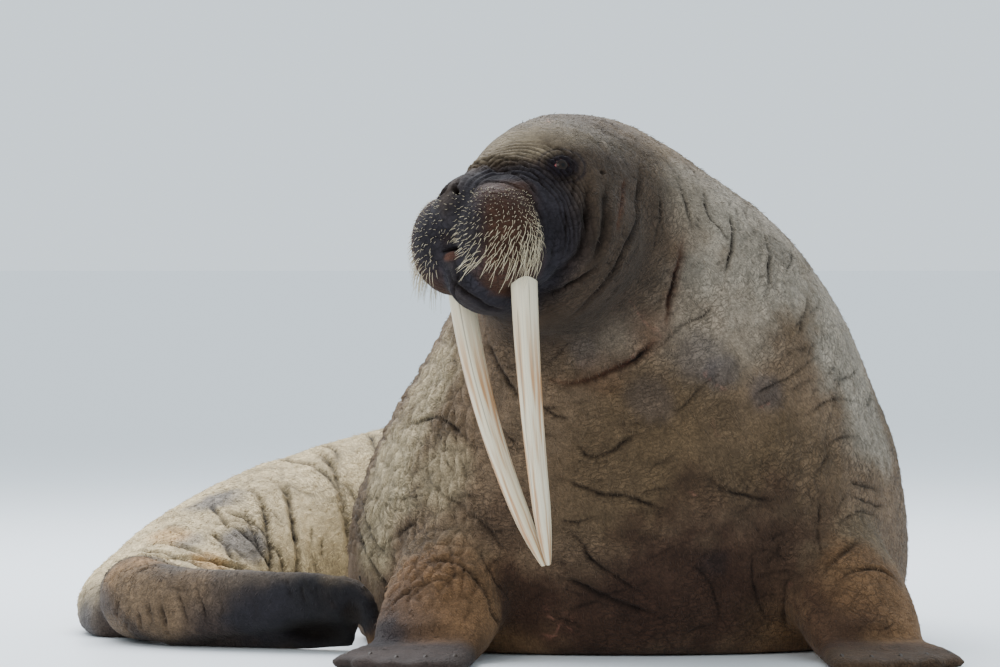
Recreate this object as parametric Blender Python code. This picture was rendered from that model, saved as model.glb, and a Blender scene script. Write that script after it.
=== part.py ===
"""A life-size walrus bull, sitting up with its head turned and its hindquarters curled round beside it.

Metres, +Z up. The floor is z = 0, +X is to the animal's left as it faces -Y, and the origin lies on the
flat under its chest. The whole body is modelled in one piece, and thin cuts then part it into its nodes.
"""

import math
import random

import bmesh
import bpy
import numpy as np
from mathutils import Matrix, Vector
from mathutils.bvhtree import BVHTree

GAP = 0.0003  # clearance between two nodes that touch
TRUNK_VOXEL = 0.012  # grain of the skin while the trunk's masses are fused
TRUNK_SOFTENING = 14
VOXEL = 0.0075  # the same for the head and limbs, which come after
SOFTENING = 7
RING_POINTS = 36
TRUNK_TRIANGLES = 2300
DETAIL_TRIANGLES = 3900  # on the head, the hands and the near hind flipper
FACE_MIDDLE = Vector((0.04, 0, -0.10))
HEAD_DETAIL = 0.24  # how far from their middles the head and the hind flipper keep those finer triangles
HAND_DETAIL = 0.20

# Head frame: origin midway between the eyes, yaw to the animal's right of straight ahead, nose up by pitch
HEAD_ORIGIN = Vector((-0.174, -0.21, 0.970))
HEAD_YAW = math.radians(46)
HEAD_PITCH = math.radians(6)
HEAD_ROLL = math.radians(9.5)  # the animal's right cheek hangs lower

# Forebody slices, level with the floor: height, middle x, half width, front y, back y
FOREBODY = (
    (-0.040, 0.055, 0.50, -0.03, 0.80),
    (0.000, 0.055, 0.545, -0.06, 0.85),
    (0.100, 0.062, 0.580, -0.10, 0.88),
    (0.222, 0.064, 0.580, -0.145, 0.88),
    (0.313, 0.071, 0.563, -0.165, 0.87),
    (0.414, 0.080, 0.533, -0.165, 0.84),
    (0.515, 0.089, 0.484, -0.160, 0.78),
    (0.656, 0.099, 0.415, -0.155, 0.67),
    (0.757, 0.087, 0.364, -0.155, 0.57),
    (0.820, 0.075, 0.330, -0.155, 0.50),
    (0.900, 0.052, 0.272, -0.150, 0.41),
    (0.990, 0.008, 0.183, -0.120, 0.28),
    (1.060, -0.024, 0.112, -0.080, 0.17),
    (1.090, -0.035, 0.050, -0.030, 0.09),
)
FOREBODY_POWER = 2.2

# Neck, from the skull back into the shoulders: middle x, y, z, half width, half height
NECK = (
    (-0.130, -0.155, 0.895, 0.175, 0.185),
    (-0.085, -0.070, 0.875, 0.222, 0.232),
    (-0.012, 0.050, 0.810, 0.276, 0.270),
    (0.050, 0.200, 0.700, 0.320, 0.290),
    (0.080, 0.330, 0.560, 0.300, 0.220),
)

# Hindbody along the spine: middle x, y, height of the widest line, half width, height of the back
HINDBODY = (
    (0.100, 0.42, 0.26, 0.485, 0.740),
    (0.080, 0.62, 0.24, 0.480, 0.675),
    (0.025, 0.84, 0.21, 0.455, 0.595),
    (-0.12, 1.02, 0.18, 0.420, 0.512),
    (-0.34, 1.12, 0.145, 0.370, 0.435),
    (-0.59, 1.06, 0.115, 0.315, 0.364),
    (-0.78, 0.89, 0.090, 0.255, 0.282),
    (-0.905, 0.70, 0.070, 0.190, 0.190),
    (-0.970, 0.56, 0.055, 0.140, 0.138),
    (-0.995, 0.47, 0.045, 0.090, 0.100),
    (-1.000, 0.42, 0.040, 0.050, 0.075),
)
BELLY_DEPTH = 0.04  # how far the belly's round reaches under the floor before it is cut flat

# Head masses in the head's frame: name, middle (forward, left, up), radii, and whether it comes as a pair
SKULL_MASSES = (
    ("cranium", (-0.105, 0, -0.048), (0.190, 0.170, 0.172), False),
    ("forehead", (-0.020, 0, -0.050), (0.150, 0.130, 0.112), False),
    ("throat", (-0.080, 0, -0.205), (0.165, 0.145, 0.105), False),
    ("cheek", (-0.085, 0.092, -0.130), (0.150, 0.105, 0.140), True),
)
FACE_MASSES = (
    ("nose_bridge", (0.085, 0, -0.078), (0.118, 0.074, 0.078), False),
    ("upper_lip", (0.090, 0, -0.120), (0.084, 0.060, 0.060), False),
    ("lower_lip", (0.138, 0, -0.190), (0.052, 0.036, 0.028), False),
    ("chin", (0.072, 0, -0.228), (0.108, 0.062, 0.060), False),
    ("pad", (0.112, 0.064, -0.140), (0.090, 0.080, 0.102), True),
    ("muzzle_root", (0.032, 0.050, -0.074), (0.100, 0.076, 0.070), True),
    ("muzzle_wall", (0.006, 0.074, -0.130), (0.086, 0.064, 0.108), True),
    ("gum", (0.056, 0.092, -0.186), (0.064, 0.046, 0.050), True),
    ("brow", (-0.012, 0.084, 0.006), (0.062, 0.040, 0.030), True),
)

# Limbs along their bones: x, y, z, half width across the limb, half thickness
FOREARM_RIGHT = (
    (-0.20, 0.16, 0.28, 0.130, 0.120),
    (-0.27, 0.03, 0.19, 0.128, 0.118),
    (-0.310, -0.07, 0.110, 0.126, 0.104),
    (-0.333, -0.14, 0.062, 0.124, 0.076),
    (-0.345, -0.20, 0.034, 0.112, 0.040),
)
FOREARM_LEFT = (
    (0.38, 0.18, 0.28, 0.130, 0.120),
    (0.455, 0.05, 0.19, 0.128, 0.118),
    (0.505, -0.05, 0.110, 0.126, 0.104),
    (0.523, -0.12, 0.062, 0.124, 0.076),
    (0.535, -0.18, 0.034, 0.112, 0.040),
)
# Each flat flipper: root x and y, the way that it points, in degrees from -Y towards +X, and its length
HAND_RIGHT = (-0.335, -0.125, -16, 0.32)
HAND_LEFT = (0.525, -0.105, 14, 0.32)
FOOT_LEFT = (-0.765, 0.425, 40, 0.245)
# Its digits, the leading one first: how far each spreads from the middle and reaches, as shares of the length
HAND_DIGITS = ((0.345, 0.97), (0.180, 1.00), (0.005, 0.98), (-0.165, 0.92), (-0.325, 0.82))
FOOT_DIGITS = ((0.34, 1.00), (0.17, 0.90), (0.0, 0.86), (-0.17, 0.90), (-0.34, 1.00))
DIGIT_HALF_WIDTH = 0.125  # share of the length too
DIGIT_HALF_THICKNESS = 0.021
CLAW_LENGTH = 0.016
CLAW_RADIUS = 0.006

# The near hind flipper lies on its edge: a stout upper edge, a web behind it, and a tip that rolls over
HIND_BAND = (
    (-0.93, 0.53, 0.085, 0.100, 0.080),
    (-0.955, 0.41, 0.090, 0.082, 0.085),
    (-0.940, 0.29, 0.090, 0.074, 0.085),
    (-0.865, 0.20, 0.088, 0.060, 0.080),
    (-0.760, 0.145, 0.094, 0.047, 0.070),
    (-0.640, 0.10, 0.103, 0.040, 0.061),
    (-0.540, 0.065, 0.110, 0.034, 0.054),
    (-0.485, 0.042, 0.108, 0.028, 0.048),
)
HIND_WEB = (
    (-0.88, 0.23, 0.070, 0.040, 0.080),
    (-0.76, 0.185, 0.062, 0.024, 0.076),
    (-0.64, 0.140, 0.058, 0.019, 0.074),
    (-0.54, 0.105, 0.054, 0.017, 0.070),
    (-0.485, 0.080, 0.046, 0.017, 0.060),
)
HIND_TIP = (
    (-0.510, 0.060, 0.130, 0.030, 0.032),
    (-0.478, 0.036, 0.110, 0.027, 0.030),
    (-0.462, 0.022, 0.070, 0.024, 0.028),
    (-0.458, 0.016, 0.030, 0.023, 0.026),
    (-0.458, 0.016, -0.010, 0.021, 0.024),
)
HIND_ANKLE_LEFT = (
    (-0.86, 0.60, 0.080, 0.085, 0.075),
    (-0.81, 0.50, 0.058, 0.080, 0.060),
    (-0.77, 0.43, 0.038, 0.078, 0.046),
    (-0.74, 0.39, 0.024, 0.080, 0.034),
)
HINDFLIPPER_LEFT_REACH = (
    (-0.825, 0.53, 0.062, 0.090, 0.062),
    (-0.77, 0.43, 0.038, 0.095, 0.046),
    (-0.68, 0.33, 0.024, 0.115, 0.034),
    (-0.61, 0.25, 0.014, 0.115, 0.026),
)
LIMB_CLEARANCE = 0.014  # how far outside a limb the shape that parts it from the body runs

# Where the body is parted: a point on each cut and the way from it into the part that is taken off
SHOULDER_RIGHT = (Vector((-0.270, -0.010, 0.190)), Vector((-0.72, -0.62, -0.30)))
SHOULDER_LEFT = (Vector((0.440, 0.010, 0.190)), Vector((0.72, -0.62, -0.30)))
NECK_ROOT = (Vector((-0.10, -0.160, 0.640)), Vector((-0.22, -0.30, 0.93)))
HIP = (Vector((-0.10, 1.02, 0.20)), Vector((-0.78, 0.625, 0)))
TAIL_ROOT = (Vector((-0.935, 0.640, 0.07)), Vector((-0.42, -0.91, 0)))
LOIN = (Vector((0.0, 0.46, 0.40)), Vector((-0.15, 0.99, 0.10)))
# The same in the head's frame
NAPE = (Vector((-0.115, 0, -0.085)), Vector((0.92, 0, 0.39)))
MUZZLE = (Vector((0.052, 0, -0.060)), Vector((0.961, 0, -0.277)))
JAW_LOW, JAW_HIGH = (-0.020, -0.056, -0.45), (0.320, 0.056, -0.188)
LIP_LOW, LIP_HIGH = (0.080, -0.028, -0.40), (0.320, 0.028, -0.160)
NOSE_LOW, NOSE_HIGH = (0.095, -0.040, -0.080), (0.400, 0.040, 0.100)

# Tusks, in the head's frame: the near end of the centre line, its drop, and how far it bends back and inwards
TUSK_ROOT = Vector((0.073, 0.089, -0.223))
TUSK_DROP = 0.564
TUSK_BEND_BACK = (0.121, 0.25)  # how far in all, and the share of it that goes evenly with the drop
TUSK_BEND_IN = (0.084, 0.436)
TUSK_HALF_WIDTH = 0.024
TUSK_HALF_DEPTH = 0.030
TUSK_SOCKET = 0.05  # share of the drop that is sunk in the muzzle

EYE_PLACE = Vector((-0.012, 0.116, 0.0))
EYE_RADIUS = 0.0200
LID_RADIUS = 0.0255
EYE_OPENING = (0.0165, 0.0095)  # half length and half height between the lids
EYE_OUTWARD = Vector((0.42, 0.90, 0.05))

NOSTRIL_PLACE = Vector((0.194, 0.024, -0.050))
NOSTRIL_RADII = (0.022, 0.0065, 0.019)
NOSTRIL_TILT = 40  # degrees that the upper end of each nostril leans outwards
EAR_PLACE = Vector((-0.130, 0.172, -0.030))
EAR_RADII = (0.009, 0.012, 0.006)
MOUTH_PLACE = Vector((0.150, 0, -0.160))
MOUTH_RADII = (0.050, 0.036, 0.0055)

WHISKERS_A_PAD = 100
WHISKER_RADIUS = 0.0014
WHISKER_CLEARANCE = 0.007  # from the tusk, the jaw and the nose
WHISKER_LENGTHS = (0.011, 0.052)  # at the top of the pad and along its lower and outer edge
PAD_MIDDLE = Vector((0.095, 0.066, -0.140))
PAD_BACK = 0.060  # how far forward of the eyes the hindmost whisker grows


def clear_scene():
    for item in list(bpy.data.objects):
        bpy.data.objects.remove(item)


def head_matrix():
    """Carries head coordinates (forward, left, up) to the world."""
    sin_yaw, cos_yaw = math.sin(HEAD_YAW), math.cos(HEAD_YAW)
    sin_pitch, cos_pitch = math.sin(HEAD_PITCH), math.cos(HEAD_PITCH)
    forward = Vector((-sin_yaw * cos_pitch, -cos_yaw * cos_pitch, sin_pitch))
    left = Vector((cos_yaw, -sin_yaw, 0))
    up = forward.cross(left)
    tilt = Matrix.Rotation(HEAD_ROLL, 3, forward)
    axes = Matrix((forward, tilt @ left, tilt @ up)).transposed().to_4x4()
    return Matrix.Translation(HEAD_ORIGIN) @ axes


HEAD = head_matrix()


def mirrored(place, side):
    """A place in the head's frame on its left (side 1) or right (side -1)."""
    return Vector((place[0], place[1] * side, place[2]))


def catmull_rom(rows, steps):
    """The rows of numbers with steps - 1 smooth rows put between each pair."""
    table = np.array(rows, float)
    padded = np.vstack((2 * table[0] - table[1], table, 2 * table[-1] - table[-2]))
    made = []
    for i in range(1, len(table)):
        before, start, end, after = padded[i - 1 : i + 3]
        for t in np.arange(steps) / steps:
            made.append(
                0.5
                * (
                    2 * start
                    + (end - before) * t
                    + (2 * before - 5 * start + 4 * end - after) * t**2
                    + (3 * start - before - 3 * end + after) * t**3
                )
            )
    made.append(table[-1])
    return made


def superellipse(middle, side, up, half_side, half_up, half_down, power=2.0, points=RING_POINTS):
    ring = []
    for i in range(points):
        angle = 2 * math.pi * i / points
        across = math.copysign(abs(math.cos(angle)) ** (2 / power), math.cos(angle))
        rise = math.copysign(abs(math.sin(angle)) ** (2 / power), math.sin(angle))
        half_rise = half_up if rise > 0 else half_down
        ring.append(middle + side * (half_side * across) + up * (half_rise * rise))
    return ring


def mesh_object(name, shape):
    shape.normal_update()
    bmesh.ops.recalc_face_normals(shape, faces=shape.faces)
    mesh = bpy.data.meshes.new(name)
    shape.to_mesh(mesh)
    shape.free()
    made = bpy.data.objects.new(name, mesh)
    bpy.context.scene.collection.objects.link(made)
    return made


def loft(name, rings):
    """A closed skin over rings of points."""
    shape = bmesh.new()
    loops = [[shape.verts.new(point) for point in ring] for ring in rings]
    count = len(loops[0])
    for near, far in zip(loops, loops[1:]):
        for i in range(count):
            j = (i + 1) % count
            shape.faces.new((near[i], near[j], far[j], far[i]))
    shape.faces.new(loops[0])
    shape.faces.new(loops[-1])
    return mesh_object(name, shape)


def level_loft(name, slices, power):
    """A loft whose rings are level with the floor."""
    rings = []
    for height, middle_x, half_width, front, back in catmull_rom(slices, 4):
        half_depth = (back - front) / 2
        middle = Vector((middle_x, front + half_depth, height))
        across, along = Vector((1, 0, 0)), Vector((0, 1, 0))
        rings.append(superellipse(middle, across, along, half_width, half_depth, half_depth, power))
    return loft(name, rings)


def tangents(middles):
    """The way along a row of points at each of them."""
    last = len(middles) - 1
    return [(middles[min(i + 1, last)] - middles[max(i - 1, 0)]).normalized() for i in range(last + 1)]


def spine_loft(name, stations, steps=4):
    """A loft whose rings stand square to the line through their middles."""
    rows = catmull_rom(stations, steps)
    middles = [Vector(row[:3]) for row in rows]
    rings = []
    side = None
    for middle, along, row in zip(middles, tangents(middles), rows):
        level = along.cross(Vector((0, 0, 1)))
        if side is None or level.length > 0.5:
            side = level.normalized()
        else:
            side = (side - along * side.dot(along)).normalized()
        rings.append(superellipse(middle, side, side.cross(along), row[3], row[4], row[4]))
    return loft(name, rings)


def lying_loft(name, stations):
    """The hindbody: upright rings that are widest low down, as fat sags on the floor."""
    rows = catmull_rom(stations, 4)
    middles = [Vector(row[:3]) for row in rows]
    up = Vector((0, 0, 1))
    rings = []
    for middle, along, row in zip(middles, tangents(middles), rows):
        side = along.cross(up).normalized()
        rings.append(superellipse(middle, side, up, row[3], row[4] - middle.z, middle.z + BELLY_DEPTH, 2.1))
    return loft(name, rings)


def ellipsoid(name, place, radii, matrix=None, segments=32, rings=20):
    """A ball stretched to radii, at place in the frame that matrix gives."""
    shape = bmesh.new()
    bmesh.ops.create_uvsphere(shape, u_segments=segments, v_segments=rings, radius=1)
    local = Matrix.Translation(place) @ Matrix.Diagonal((*radii, 1))
    shape.transform((matrix or Matrix.Identity(4)) @ local)
    return mesh_object(name, shape)


def box(name, low, high, matrix=None):
    shape = bmesh.new()
    bmesh.ops.create_cube(shape, size=1)
    low, high = Vector(low), Vector(high)
    local = Matrix.Translation((low + high) / 2) @ Matrix.Diagonal((*(high - low), 1))
    shape.transform((matrix or Matrix.Identity(4)) @ local)
    return mesh_object(name, shape)


def tapered(name, points, radii, sides):
    """A thin curved spike through points, pointed at its far end."""
    shape = bmesh.new()
    middles = [Vector(point) for point in points]
    loops = []
    for middle, along, radius in zip(middles[:-1], tangents(middles), radii):
        side = along.orthogonal().normalized() if not loops else (side - along * side.dot(along)).normalized()
        ring = superellipse(middle, side, side.cross(along), radius, radius, radius, points=sides)
        loops.append([shape.verts.new(point) for point in ring])
    tip = shape.verts.new(middles[-1])
    shape.faces.new(loops[0])
    for near, far in zip(loops, loops[1:]):
        for i in range(sides):
            shape.faces.new((near[i], near[(i + 1) % sides], far[(i + 1) % sides], far[i]))
    for i in range(sides):
        shape.faces.new((loops[-1][i], loops[-1][(i + 1) % sides], tip))
    return mesh_object(name, shape)


def apply_modifiers(item):
    bpy.context.view_layer.update()
    graph = bpy.context.evaluated_depsgraph_get()
    made = bpy.data.meshes.new_from_object(item.evaluated_get(graph))
    item.modifiers.clear()
    item.data = made
    return item


def joined(name, items):
    """One object that holds the meshes of all the items, which are removed."""
    shape = bmesh.new()
    for item in items:
        shape.from_mesh(item.data)
        bpy.data.objects.remove(item)
    mesh = bpy.data.meshes.new(name)
    shape.to_mesh(mesh)
    shape.free()
    made = bpy.data.objects.new(name, mesh)
    bpy.context.scene.collection.objects.link(made)
    return made


def fuse(item, voxel, soften):
    """Melts overlapping closed masses into one skin, then softens the creases where they met."""
    remesh = item.modifiers.new("fuse", "REMESH")
    remesh.mode = "VOXEL"
    remesh.voxel_size = voxel
    smooth = item.modifiers.new("soften", "SMOOTH")
    smooth.factor = 0.5
    smooth.iterations = soften
    return keep_largest(apply_modifiers(item))


def keep_largest(item):
    """Drops every closed surface but the largest one."""
    shape = bmesh.new()
    shape.from_mesh(item.data)
    shape.verts.ensure_lookup_table()
    found = []
    seen = set()
    for start in shape.verts:
        if start.index in seen:
            continue
        group, queue = [], [start]
        seen.add(start.index)
        while queue:
            vert = queue.pop()
            group.append(vert)
            for edge in vert.link_edges:
                other = edge.other_vert(vert)
                if other.index not in seen:
                    seen.add(other.index)
                    queue.append(other)
        found.append(group)
    found.sort(key=len)
    for group in found[:-1]:
        bmesh.ops.delete(shape, geom=group, context="VERTS")
    shape.to_mesh(item.data)
    shape.free()
    return item


def boolean(item, other, operation, solver="EXACT"):
    cut = item.modifiers.new(operation.lower(), "BOOLEAN")
    cut.operation = operation
    cut.solver = solver
    cut.object = other
    apply_modifiers(item)
    bpy.data.objects.remove(other)
    return item


def union_all(item, others):
    """Joins many closed pieces to the item in one go."""
    group = bpy.data.collections.new("pieces")
    bpy.context.scene.collection.children.link(group)
    for other in others:
        bpy.context.scene.collection.objects.unlink(other)
        group.objects.link(other)
    join = item.modifiers.new("join", "BOOLEAN")
    join.operation = "UNION"
    join.operand_type = "COLLECTION"
    join.solver = "MANIFOLD"
    join.collection = group
    apply_modifiers(item)
    for other in others:
        bpy.data.objects.remove(other)
    bpy.data.collections.remove(group)
    return keep_largest(item)


def flipper_frame(root_x, root_y, degrees):
    turn = math.radians(degrees)
    along = Vector((math.sin(turn), -math.cos(turn), 0))
    return Vector((root_x, root_y, 0)), along, Vector((math.cos(turn), math.sin(turn), 0))


def flat_flipper(flipper, digits, leading):
    """Five digits and the web between them, flat on the floor. The first digit is on the side that leads."""
    root_x, root_y, degrees, length = flipper
    root, along, across = flipper_frame(root_x, root_y, degrees)
    across *= leading
    pieces = []
    for spread, reach in digits:
        start = root + across * (spread * length * 0.55)
        end = root + (along * reach + across * spread * 1.15) * length
        stations = []
        for share in (0.0, 0.3, 0.6, 0.85, 1.0):
            place = start.lerp(end, share)
            thick = DIGIT_HALF_THICKNESS * (1.5 - 0.8 * share)
            wide = DIGIT_HALF_WIDTH * length * (1.0 - 0.25 * share**3)
            stations.append((place.x, place.y, thick * 0.72, wide, thick))
        pieces.append(spine_loft("digit", stations))
    web = []
    for share, wide, thick in ((0.0, 0.33, 1.3), (0.35, 0.37, 1.0), (0.65, 0.42, 0.75), (0.84, 0.42, 0.55)):
        place = root + along * (length * share)
        thick *= DIGIT_HALF_THICKNESS
        web.append((place.x, place.y, thick * 0.7, wide * length, thick))
    return [*pieces, spine_loft("web", web)]


def claws(flipper, digits, leading):
    """A small nail on top of each digit, set back from its tip."""
    root_x, root_y, degrees, length = flipper
    root, along, across = flipper_frame(root_x, root_y, degrees)
    made = []
    for spread, reach in digits:
        place = root + (along * (reach - 0.13) + across * (leading * spread * 1.10)) * length
        place.z = DIGIT_HALF_THICKNESS * 0.9
        points = (
            place - along * CLAW_LENGTH * 0.6 - Vector((0, 0, 0.004)),
            place + Vector((0, 0, 0.004)),
            place + along * CLAW_LENGTH + Vector((0, 0, 0.001)),
        )
        made.append(tapered("claw", points, (CLAW_RADIUS, CLAW_RADIUS), 5))
    return made


def head_masses(table):
    made = []
    for name, place, radii, paired in table:
        for side in (1, -1) if paired else (1,):
            made.append(ellipsoid(name, mirrored(place, side), radii, HEAD))
    return made


def whole_body():
    """The whole animal as one skin, melted together from its masses."""
    trunk = joined(
        "trunk",
        [
            level_loft("forebody", FOREBODY, FOREBODY_POWER),
            spine_loft("neck", NECK),
            lying_loft("hindbody", HINDBODY),
            *head_masses(SKULL_MASSES),
        ],
    )
    trunk = fuse(trunk, TRUNK_VOXEL, TRUNK_SOFTENING)
    masses = [
        trunk,
        spine_loft("forearm_right", FOREARM_RIGHT),
        spine_loft("forearm_left", FOREARM_LEFT),
        *flat_flipper(HAND_RIGHT, HAND_DIGITS, 1),
        *flat_flipper(HAND_LEFT, HAND_DIGITS, -1),
        *flat_flipper(FOOT_LEFT, FOOT_DIGITS, 1),
        spine_loft("hind_band", HIND_BAND),
        spine_loft("hind_web", HIND_WEB),
        spine_loft("hind_tip", HIND_TIP),
        spine_loft("hind_ankle_left", HIND_ANKLE_LEFT),
        *head_masses(FACE_MASSES),
    ]
    return fuse(joined("whole", masses), VOXEL, SOFTENING)


def thin_zone(item, inside, triangles):
    """Merges triangles in one zone of the item until the item has lost all but the given number there."""
    zone = item.vertex_groups.new(name="zone")
    zone.add([vert.index for vert in item.data.vertices if inside(vert.co)], 1.0, "REPLACE")
    in_zone = total = 0
    for face in item.data.polygons:
        count = len(face.vertices) - 2
        total += count
        in_zone += count if inside(face.center) else 0
    thin = item.modifiers.new("thin", "DECIMATE")
    thin.ratio = 1 - (in_zone - triangles) / total
    thin.vertex_group = "zone"
    apply_modifiers(item)
    item.vertex_groups.clear()
    return item


def thin_out(item):
    """Fewer triangles, which stay finer on the head and the flippers than on the trunk."""
    face = HEAD @ FACE_MIDDLE
    hands = [Vector((x, y - length / 2, 0)) for x, y, _, length in (HAND_RIGHT, HAND_LEFT)]
    hind = Vector(HIND_BAND[-3][:3])

    def fine(place):
        return (
            (place - face).length < HEAD_DETAIL
            or any((place - middle).length < HAND_DETAIL for middle in hands)
            or (place - hind).length < HEAD_DETAIL
        )

    thin_zone(item, lambda place: not fine(place), TRUNK_TRIANGLES)
    return thin_zone(item, fine, DETAIL_TRIANGLES)


def half_space(cut, shift=0.0, reach=0.9, matrix=None):
    """A big box on the far side of a cut, its near face moved on by shift."""
    point, normal = cut
    normal = normal.normalized()
    turn = normal.to_track_quat("Z", "Y").to_matrix().to_4x4()
    place = (matrix or Matrix.Identity(4)) @ Matrix.Translation(point) @ turn
    return box("far_side", (-reach, -reach, shift), (reach, reach, 2 * reach), place)


def grown(stations, shift, first=0):
    """Limb stations from the first one on, a clearance larger all round and running on past the tip."""
    more = LIMB_CLEARANCE - shift
    rows = [np.array((x, y, z, wide + more, thick + more)) for x, y, z, wide, thick in stations[first:]]
    rows[0][:3] += (rows[1] - rows[0])[:3] / np.linalg.norm((rows[1] - rows[0])[:3]) * shift
    end, before = rows[-1], rows[-2]
    beyond = end + (end - before) / np.linalg.norm((end - before)[:3]) * end[3]
    rows.append(np.array((*beyond[:3], end[3] * 0.6, end[4] * 0.6)))
    return rows


def taken_off(rest, name, region):
    """Parts the body: the new node is what region(0) holds, and rest loses that and the gap round it."""
    piece = bpy.data.objects.new(name, rest.data.copy())
    bpy.context.scene.collection.objects.link(piece)
    # EXACT leaves an open edge beside the lips here, and then loses the pads.
    boolean(piece, region(0.0), "INTERSECT", "MANIFOLD")
    boolean(rest, region(-GAP), "DIFFERENCE", "MANIFOLD")
    keep_largest(piece)
    keep_largest(rest)
    return piece


def hindflipper_right_region(shift):
    region = spine_loft("region", grown(HIND_BAND, shift, 1))
    boolean(region, spine_loft("region_web", grown(HIND_WEB, shift)), "UNION")
    return boolean(region, spine_loft("region_tip", grown(HIND_TIP, shift)), "UNION")


def jaw_region(shift):
    """The chin, and the lower lip that stands up between the pads."""
    region = box("region", *grown_box(JAW_LOW, JAW_HIGH, -shift), HEAD)
    return boolean(region, box("region_lip", *grown_box(LIP_LOW, LIP_HIGH, -shift), HEAD), "UNION")


def parted(whole):
    """The named pieces of flesh, taken off the whole body one after another."""
    nodes = {}

    def take(source, name, region):
        nodes[name] = taken_off(source, name, region)
        return nodes[name]

    take(whole, "hindflipper_right", hindflipper_right_region)
    take(
        whole,
        "hindflipper_left",
        lambda shift: spine_loft("region", grown(HINDFLIPPER_LEFT_REACH, shift)),
    )
    head = take(whole, "head", lambda shift: half_space(NAPE, shift, 0.45, HEAD))
    take(head, "nose", lambda shift: box("region", *grown_box(NOSE_LOW, NOSE_HIGH, -shift), HEAD))
    take(head, "lower_jaw", jaw_region)
    muzzle = taken_off(head, "muzzle", lambda shift: half_space(MUZZLE, shift, 0.4, HEAD))
    middle = (Vector((0, 0, 0)), Vector((0, 1, 0)))
    take(muzzle, "whisker_pad_left", lambda shift: half_space(middle, shift, 0.4, HEAD))
    muzzle.name = "whisker_pad_right"
    nodes["whisker_pad_right"] = muzzle
    take(whole, "foreflipper_right", lambda shift: half_space(SHOULDER_RIGHT, shift, 0.42))
    take(whole, "foreflipper_left", lambda shift: half_space(SHOULDER_LEFT, shift, 0.42))
    take(whole, "neck", lambda shift: half_space(NECK_ROOT, shift, 1.2))
    hind = taken_off(whole, "hindquarters", lambda shift: half_space(HIP, shift, 1.6))
    take(hind, "tail", lambda shift: half_space(TAIL_ROOT, shift, 0.5))
    nodes["hindquarters"] = hind
    take(whole, "belly", lambda shift: half_space(LOIN, shift, 1.6))
    whole.name = "chest"
    nodes["chest"] = whole
    return nodes


def grown_box(low, high, more):
    return Vector(low) - Vector((more,) * 3), Vector(high) + Vector((more,) * 3)


def tusk(name, side, more=0.0):
    """A tusk from its socket to its tip, or with more the hole that it sits in."""
    rings = []
    back, even_back = TUSK_BEND_BACK
    bend_in, even_in = TUSK_BEND_IN
    shares = [-TUSK_SOCKET - more / TUSK_DROP, *np.linspace(0, 0.96, 13), 0.985]
    middles = []
    for share in shares:
        run = max(share, 0)
        middles.append(
            Vector(
                (
                    TUSK_ROOT.x - back * (even_back * run + (1 - even_back) * run**2),
                    side * (TUSK_ROOT.y - bend_in * (even_in * run + (1 - even_in) * run**2)),
                    TUSK_ROOT.z - TUSK_DROP * share,
                )
            )
        )
    for middle, along, share in zip(middles, tangents(middles), shares):
        size = (1 - 0.42 * max(share, 0) ** 1.25) * min(1, math.sqrt(max(1 - share, 0) / 0.16))
        across = Vector((0, 1, 0))
        deep = across.cross(along).normalized()
        half_width = TUSK_HALF_WIDTH * size + more
        half_depth = TUSK_HALF_DEPTH * size + more
        rings.append(superellipse(middle, across, deep, half_width, half_depth, half_depth, 2.2, 14))
    made = loft(name, rings)
    made.data.transform(HEAD)
    return made


def eye(name, side):
    return ellipsoid(name, mirrored(EYE_PLACE, side), (EYE_RADIUS,) * 3, HEAD, 16, 10)


def open_eye(head, side):
    """Puts lids round the eyeball's place and hollows the socket that it sits in."""
    place = mirrored(EYE_PLACE, side)
    outward = mirrored(EYE_OUTWARD, side).normalized()
    lids = ellipsoid("lids", place, (LID_RADIUS, LID_RADIUS, LID_RADIUS * 0.94), HEAD, 20, 12)
    boolean(head, lids, "UNION")
    turn = outward.to_track_quat("X", "Z").to_matrix().to_4x4()
    half_length, half_height = EYE_OPENING
    at_eye = HEAD @ Matrix.Translation(place) @ turn
    slit = ellipsoid("slit", (0, 0, 0), (0.05, half_length, half_height), at_eye, 20, 10)
    boolean(head, slit, "DIFFERENCE")
    socket = ellipsoid("socket", place, (EYE_RADIUS + GAP * 1.5,) * 3, HEAD, 16, 10)
    boolean(head, socket, "DIFFERENCE")
    return keep_largest(head)


def pit(item, place, radii, side=1, degrees=0):
    """A small hollow: a nostril, an ear or the slit of the mouth."""
    turn = Matrix.Rotation(math.radians(degrees * side), 4, "X")
    matrix = HEAD @ Matrix.Translation(mirrored(place, side)) @ turn
    return boolean(item, ellipsoid("pit", (0, 0, 0), radii, matrix, 16, 8), "DIFFERENCE")


def tree_of(item):
    return BVHTree.FromPolygons(
        [item.matrix_world @ vert.co for vert in item.data.vertices],
        [tuple(face.vertices) for face in item.data.polygons],
    )


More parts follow.
